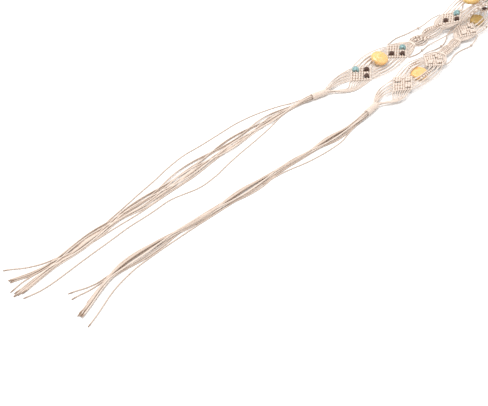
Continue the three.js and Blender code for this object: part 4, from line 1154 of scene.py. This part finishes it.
class BELT_OT_side_strands(bpy.types.Operator):
    """Loose strands beside the links, each with a small knot"""
    bl_idname = "belt.side_strands"
    bl_label = "Side strands"

    def execute(self, context):
        lay = Lay()
        sizes = lay.sizes
        links = lay.of_kind("link")
        for number, (which, side, knot, shares) in enumerate(SIDE_STRANDS, 1):
            link = links[which]
            spots = []
            for along, across, sag in shares:
                spot = lay.place(link["start"] + along * link["length"],
                                 side * across * link["wide"] * sizes.belt_width / 2, 0.0)
                spot[2] = max(spot[2] * (1 - sag), sizes.cord / 2 + sizes.hair)
                spots.append(spot)
            line = curve(spots, STRAND_POINTS)
            work = CordWork()
            # The strand is drawn in painted shade
            work.sweep(line, sizes.cord / 2, 8, PAINTED_SHADE_TONES["strand"])
            strand = work.finish(f"strand_{number}", [f"side_strand_{number}"])
            share = (knot - shares[0][0]) / (shares[-1][0] - shares[0][0])
            index = int(share * (STRAND_POINTS - 1))
            spot = line[index]
            ahead = unit(line[index + 1] - line[index - 1])
            tie = coil((0.0, 0.0, 0.0), 0.0, **STRAND_KNOT)
            aside = unit(np.cross((0.0, 0.0, 1.0), ahead))
            basis = np.stack((ahead, aside, np.cross(ahead, aside)))
            knot_work = CordWork()
            middle = np.array((spot[0], spot[1], max(spot[2], STRAND_KNOT_LOW)))
            # The strand's knot is drawn in painted shade
            knot_work.sweep(tie @ basis + middle, STRAND_KNOT_RADIUS * sizes.cord, 8, PAINTED_SHADE_TONES["strand_knot"])
            tied = knot_work.finish(f"strand_knot_{number}", [])
        return {"FINISHED"}


class BELT_OT_diamonds(bpy.types.Operator):
    """Seven knotted diamonds"""
    bl_idname = "belt.diamonds"
    bl_label = "Diamonds"

    def execute(self, context):
        lay = Lay()
        for number, (motif, beads) in enumerate(zip(lay.of_kind("diamond"), BEADS), 1):
            diamond_work(lay, motif, beads, number).finish(f"knots_{number}", [f"diamond_{number}"])
        return {"FINISHED"}


class BELT_OT_arcs(bpy.types.Operator):
    """Cords bowed round the ambers"""
    bl_idname = "belt.arcs"
    bl_label = "Amber cords"

    def execute(self, context):
        lay = Lay()
        diamonds = lay.of_kind("diamond")
        pairs = ((0, 1), (2, 3), (3, 4), (5, 6))
        details = zip(lay.of_kind("arcs"), pairs, AMBER_ROWS, AMBER_LIFTS)
        for number, (motif, (before, after), rows, lift) in enumerate(details, 1):
            work = arcs_work(lay, motif, diamonds[before], diamonds[after], rows, lift)
            work.finish(f"bowed_cords_{number}", [f"amber_cords_{number}"])
        return {"FINISHED"}


class BELT_OT_links(bpy.types.Operator):
    """Two links of two leaves each"""
    bl_idname = "belt.links"
    bl_label = "Links"

    def execute(self, context):
        lay = Lay()
        diamonds = lay.of_kind("diamond")
        for number, (link, pair) in enumerate(zip(lay.of_kind("link"), ((1, 2), (4, 5)))):
            work = link_work(lay, link, diamonds[pair[0]], diamonds[pair[1]], number)
            work.finish(f"link_{number + 1}", [f"leaf_{2 * number + 1}", f"leaf_{2 * number + 2}"])
        return {"FINISHED"}


class BELT_OT_ends(bpy.types.Operator):
    """Fans, wraps and fringes at both ends"""
    bl_idname = "belt.ends"
    bl_label = "Fans, wraps and fringes"

    def execute(self, context):
        lay = Lay()
        diamonds, wraps, fans = lay.of_kind("diamond"), lay.of_kind("wrap"), lay.of_kind("fan")
        ends = (("far", 0, 1, FAR_LOCKS, FAR_FRINGE), ("near", -1, -1, NEAR_LOCKS, NEAR_FRINGE))
        for name, index, turn, locks, route in ends:
            fan_work(lay, fans[index], diamonds[index], turn).finish(f"spread_{name}", [f"fan_{name}"])
            wrap_work(lay, wraps[index]).finish(f"winding_{name}", [f"wrap_{name}"])
            wrap = wraps[index]
            mouth = wrap["start"] if turn > 0 else wrap["start"] + wrap["length"]
            root = lay.place(mouth, 0.0, 0.0)
            fringe_work(lay, locks, route, root, 11 + turn).finish(f"tassel_{name}", [f"fringe_{name}"])
        return {"FINISHED"}


def edit_faces(piece, chosen):
    """Select the faces of a mesh that pass a test on their middle and normal, in edit mode."""
    bpy.ops.object.mode_set(mode="OBJECT")
    mesh = piece.data
    for items in (mesh.vertices, mesh.edges, mesh.polygons):
        items.foreach_set("select", [False] * len(items))
    for face in mesh.polygons:
        face.select = chosen(face.center, face.normal)
    bpy.ops.object.mode_set(mode="EDIT")
    bpy.ops.mesh.select_mode(type="FACE")


def push_face(piece, up, height, scale):
    """Extrude the end face up or down by a height and resize it about the axis."""
    edit_faces(piece, lambda centre, normal: normal.z * up > 0.9 and centre.z * up > 0)
    bpy.ops.mesh.extrude_region_move(TRANSFORM_OT_translate={"value": (0, 0, up * height)})
    bpy.ops.transform.resize(value=(scale, scale, 1))


def drilled_bead(name, form):
    """A bead with a hole along z: a band, shouldered at both ends, drilled, rounded and smoothed."""
    sizes = bpy.context.scene.belt_sizes
    radius, half = bead_reach(form)
    bore = sizes.bead_bore / 2
    bpy.ops.object.select_all(action="DESELECT")
    bpy.ops.mesh.primitive_cylinder_add(vertices=20, radius=radius, depth=0.5 * half)
    piece = bpy.context.object
    piece.name = name
    for up in (1, -1):
        end = radius
        for height, scale in BEAD_SHOULDERS:
            push_face(piece, up, height * half, scale)
            end *= scale
        edit_faces(piece, lambda centre, normal: normal.z * up > 0.9 and abs(centre.z) > 0.9 * half)
        bpy.ops.mesh.inset(thickness=end - bore)
    edit_faces(piece, lambda centre, normal: abs(normal.z) > 0.9 and centre.xy.length < 0.1 * bore)
    bpy.ops.mesh.bridge_edge_loops()
    bpy.ops.mesh.select_all(action="SELECT")
    bpy.ops.mesh.normals_make_consistent(inside=False)
    bpy.ops.object.mode_set(mode="OBJECT")
    bevel = piece.modifiers.new("rims", "BEVEL")
    bevel.width, bevel.segments, bevel.limit_method, bevel.angle_limit = 0.0002, 2, "ANGLE", math.radians(50)
    bpy.ops.object.modifier_apply(modifier="rims")
    smooth = piece.modifiers.new("smooth", "SUBSURF")
    smooth.levels = smooth.render_levels = 1
    bpy.ops.object.modifier_apply(modifier="smooth")
    bpy.ops.object.shade_smooth()
    return piece


def lumpy(piece, random):
    """Tumble a nugget: push its skin in and out by a few broad waves."""
    waves = random.uniform(-1, 1, (4, 4))
    for vertex in piece.data.vertices:
        swell = sum(math.sin(LUMP_WAVE * (vertex.co.x * a + vertex.co.y * b + vertex.co.z * c) + 6 * d)
                    for a, b, c, d in waves)
        if vertex.co.xy.length > HOLE_ROOM:
            vertex.co.x *= 1 + LUMP_DEPTH * swell
            vertex.co.y *= 1 + LUMP_DEPTH * swell


def put(piece, pose, angle):
    """Turn a bead's hole from z onto its cord, and set it in its seat."""
    turn = Matrix.Rotation(math.radians(angle), 4, "Z") @ Matrix.Rotation(math.pi / 2, 4, "Y")
    piece.data.transform(pose @ turn)
    piece.data.update()


class BELT_OT_beads(bpy.types.Operator):
    """Drilled beads: dark barrels and turquoise nuggets"""
    bl_idname = "belt.beads"
    bl_label = "Beads"

    def execute(self, context):
        lay = Lay()
        sizes = lay.sizes
        random = np.random.default_rng(5)
        models = {form: drilled_bead(f"model_{form}", form) for form in ("barrel", "nugget")}
        for number, (motif, beads) in enumerate(zip(lay.of_kind("diamond"), BEADS), 1):
            middle = motif["start"] + motif["length"] / 2
            for order, (seat, form, angle) in enumerate(beads, 1):
                kind = "turquoise_bead" if form == "nugget" else "dark_bead"
                piece = models[form].copy()
                piece.data = models[form].data.copy()
                piece.name = f"{form}_{number}_{order}"
                context.scene.collection.objects.link(piece)
                if form == "nugget":
                    lumpy(piece, random)
                    piece.data.transform(Matrix.Diagonal((NUGGET_FLATNESS, 1, 1, 1)))
                pose = lay.pose(middle + seat[0] * motif["length"], seat[1] * motif["width"], sizes.bead_lift)
                put(piece, pose, angle)
                piece.data.materials.clear()
                piece.data.materials.append(stone_finish() if form == "nugget" else dark_finish())
                settle(piece, [f"{kind}_{number}_{order}"])
        for model in models.values():
            bpy.data.objects.remove(model)
        return {"FINISHED"}


class BELT_OT_ambers(bpy.types.Operator):
    """Domed amber discs with a hole along the belt"""
    bl_idname = "belt.ambers"
    bl_label = "Ambers"

    def execute(self, context):
        lay = Lay()
        sizes = lay.sizes
        radius, thick = sizes.amber_diameter / 2, sizes.amber_thickness
        bpy.ops.object.select_all(action="DESELECT")
        bpy.ops.mesh.primitive_cylinder_add(vertices=32, radius=radius, depth=0.3 * thick,
                                            location=(0, 0, 0.4 * thick))
        disc = context.object
        disc.name = "model_amber"
        bpy.ops.object.transform_apply(location=True, rotation=False, scale=False)
        edit_faces(disc, lambda centre, normal: normal.z < -0.9)
        bpy.ops.mesh.extrude_region_move(TRANSFORM_OT_translate={"value": (0, 0, -0.25 * thick)})
        bpy.ops.transform.resize(value=(0.9, 0.9, 1))
        bpy.ops.mesh.inset(thickness=0.3 * radius)
        for height, scale in AMBER_DOME:
            push_face(disc, 1, height * thick, scale)
        bpy.ops.mesh.inset(thickness=0.12 * radius)
        bpy.ops.object.mode_set(mode="OBJECT")
        smooth = disc.modifiers.new("smooth", "SUBSURF")
        smooth.levels = smooth.render_levels = 2
        bpy.ops.object.modifier_apply(modifier="smooth")
        bpy.ops.object.select_all(action="DESELECT")
        bpy.ops.mesh.primitive_cylinder_add(vertices=20, radius=sizes.amber_bore / 2, depth=3 * radius,
                                            location=(0, 0, HOLE_HEIGHT * thick),
                                            rotation=(0, math.pi / 2, 0))
        drill = context.object
        bpy.context.view_layer.objects.active = disc
        cut = disc.modifiers.new("drill", "BOOLEAN")
        cut.operation, cut.object = "DIFFERENCE", drill
        bpy.ops.object.modifier_apply(modifier="drill")
        bpy.data.objects.remove(drill)
        for number, motif in enumerate(lay.of_kind("arcs"), 1):
            piece = disc.copy()
            piece.data = disc.data.copy()
            piece.name = f"amber_disc_{number}"
            context.scene.collection.objects.link(piece)
            hole = Matrix.Translation((0, 0, HOLE_HEIGHT * thick))
            tilt = hole @ Matrix.Rotation(math.radians(AMBER_TILTS[number - 1]), 4, "X") @ hole.inverted()
            seat = AMBER_SEAT + AMBER_LIFTS[number - 1]
            piece.data.transform(lay.pose(motif["start"] + motif["length"] / 2, 0, seat) @ tilt)
            piece.data.polygons.foreach_set("use_smooth", [True] * len(piece.data.polygons))
            piece.data.materials.clear()
            piece.data.materials.append(amber_finish())
            # How much painted shade this disc takes from the fold's shadow
            fold_light = piece.data.attributes.new("fold_light", "FLOAT", "POINT")
            fold_light.data.foreach_set("value", [AMBER_FOLD_LIGHT[number - 1]] * len(piece.data.vertices))
            settle(piece, [f"amber_{number}"])
        bpy.data.objects.remove(disc)
        return {"FINISHED"}


class BELT_PT_panel(bpy.types.Panel):
    """Sidebar panel that lists the steps"""
    bl_idname = "BELT_PT_panel"
    bl_label = "Knotted belt"
    bl_space_type = "VIEW_3D"
    bl_region_type = "UI"
    bl_category = "Belt"

    def draw(self, context):
        for operator in OPERATORS:
            self.layout.operator(operator.bl_idname)
        for group in (context.scene.belt_sizes, context.scene.belt_colours):
            for name in group.__annotations__:
                self.layout.prop(group, name)


OPERATORS = (BELT_OT_stage, BELT_OT_side_strands, BELT_OT_diamonds, BELT_OT_arcs, BELT_OT_links,
             BELT_OT_ends, BELT_OT_beads, BELT_OT_ambers)
CLASSES = (BeltSizes, BeltColours, *OPERATORS, BELT_PT_panel)


def register():
    for item in CLASSES:
        bpy.utils.register_class(item)
    bpy.types.Scene.belt_sizes = bpy.props.PointerProperty(type=BeltSizes)
    bpy.types.Scene.belt_colours = bpy.props.PointerProperty(type=BeltColours)


def unregister():
    del bpy.types.Scene.belt_colours
    del bpy.types.Scene.belt_sizes
    for item in reversed(CLASSES):
        bpy.utils.unregister_class(item)


def main():
    register()
    for operator in OPERATORS:
        group, name = operator.bl_idname.split(".")
        getattr(getattr(bpy.ops, group), name)()


if __name__ == "__main__":
    main()
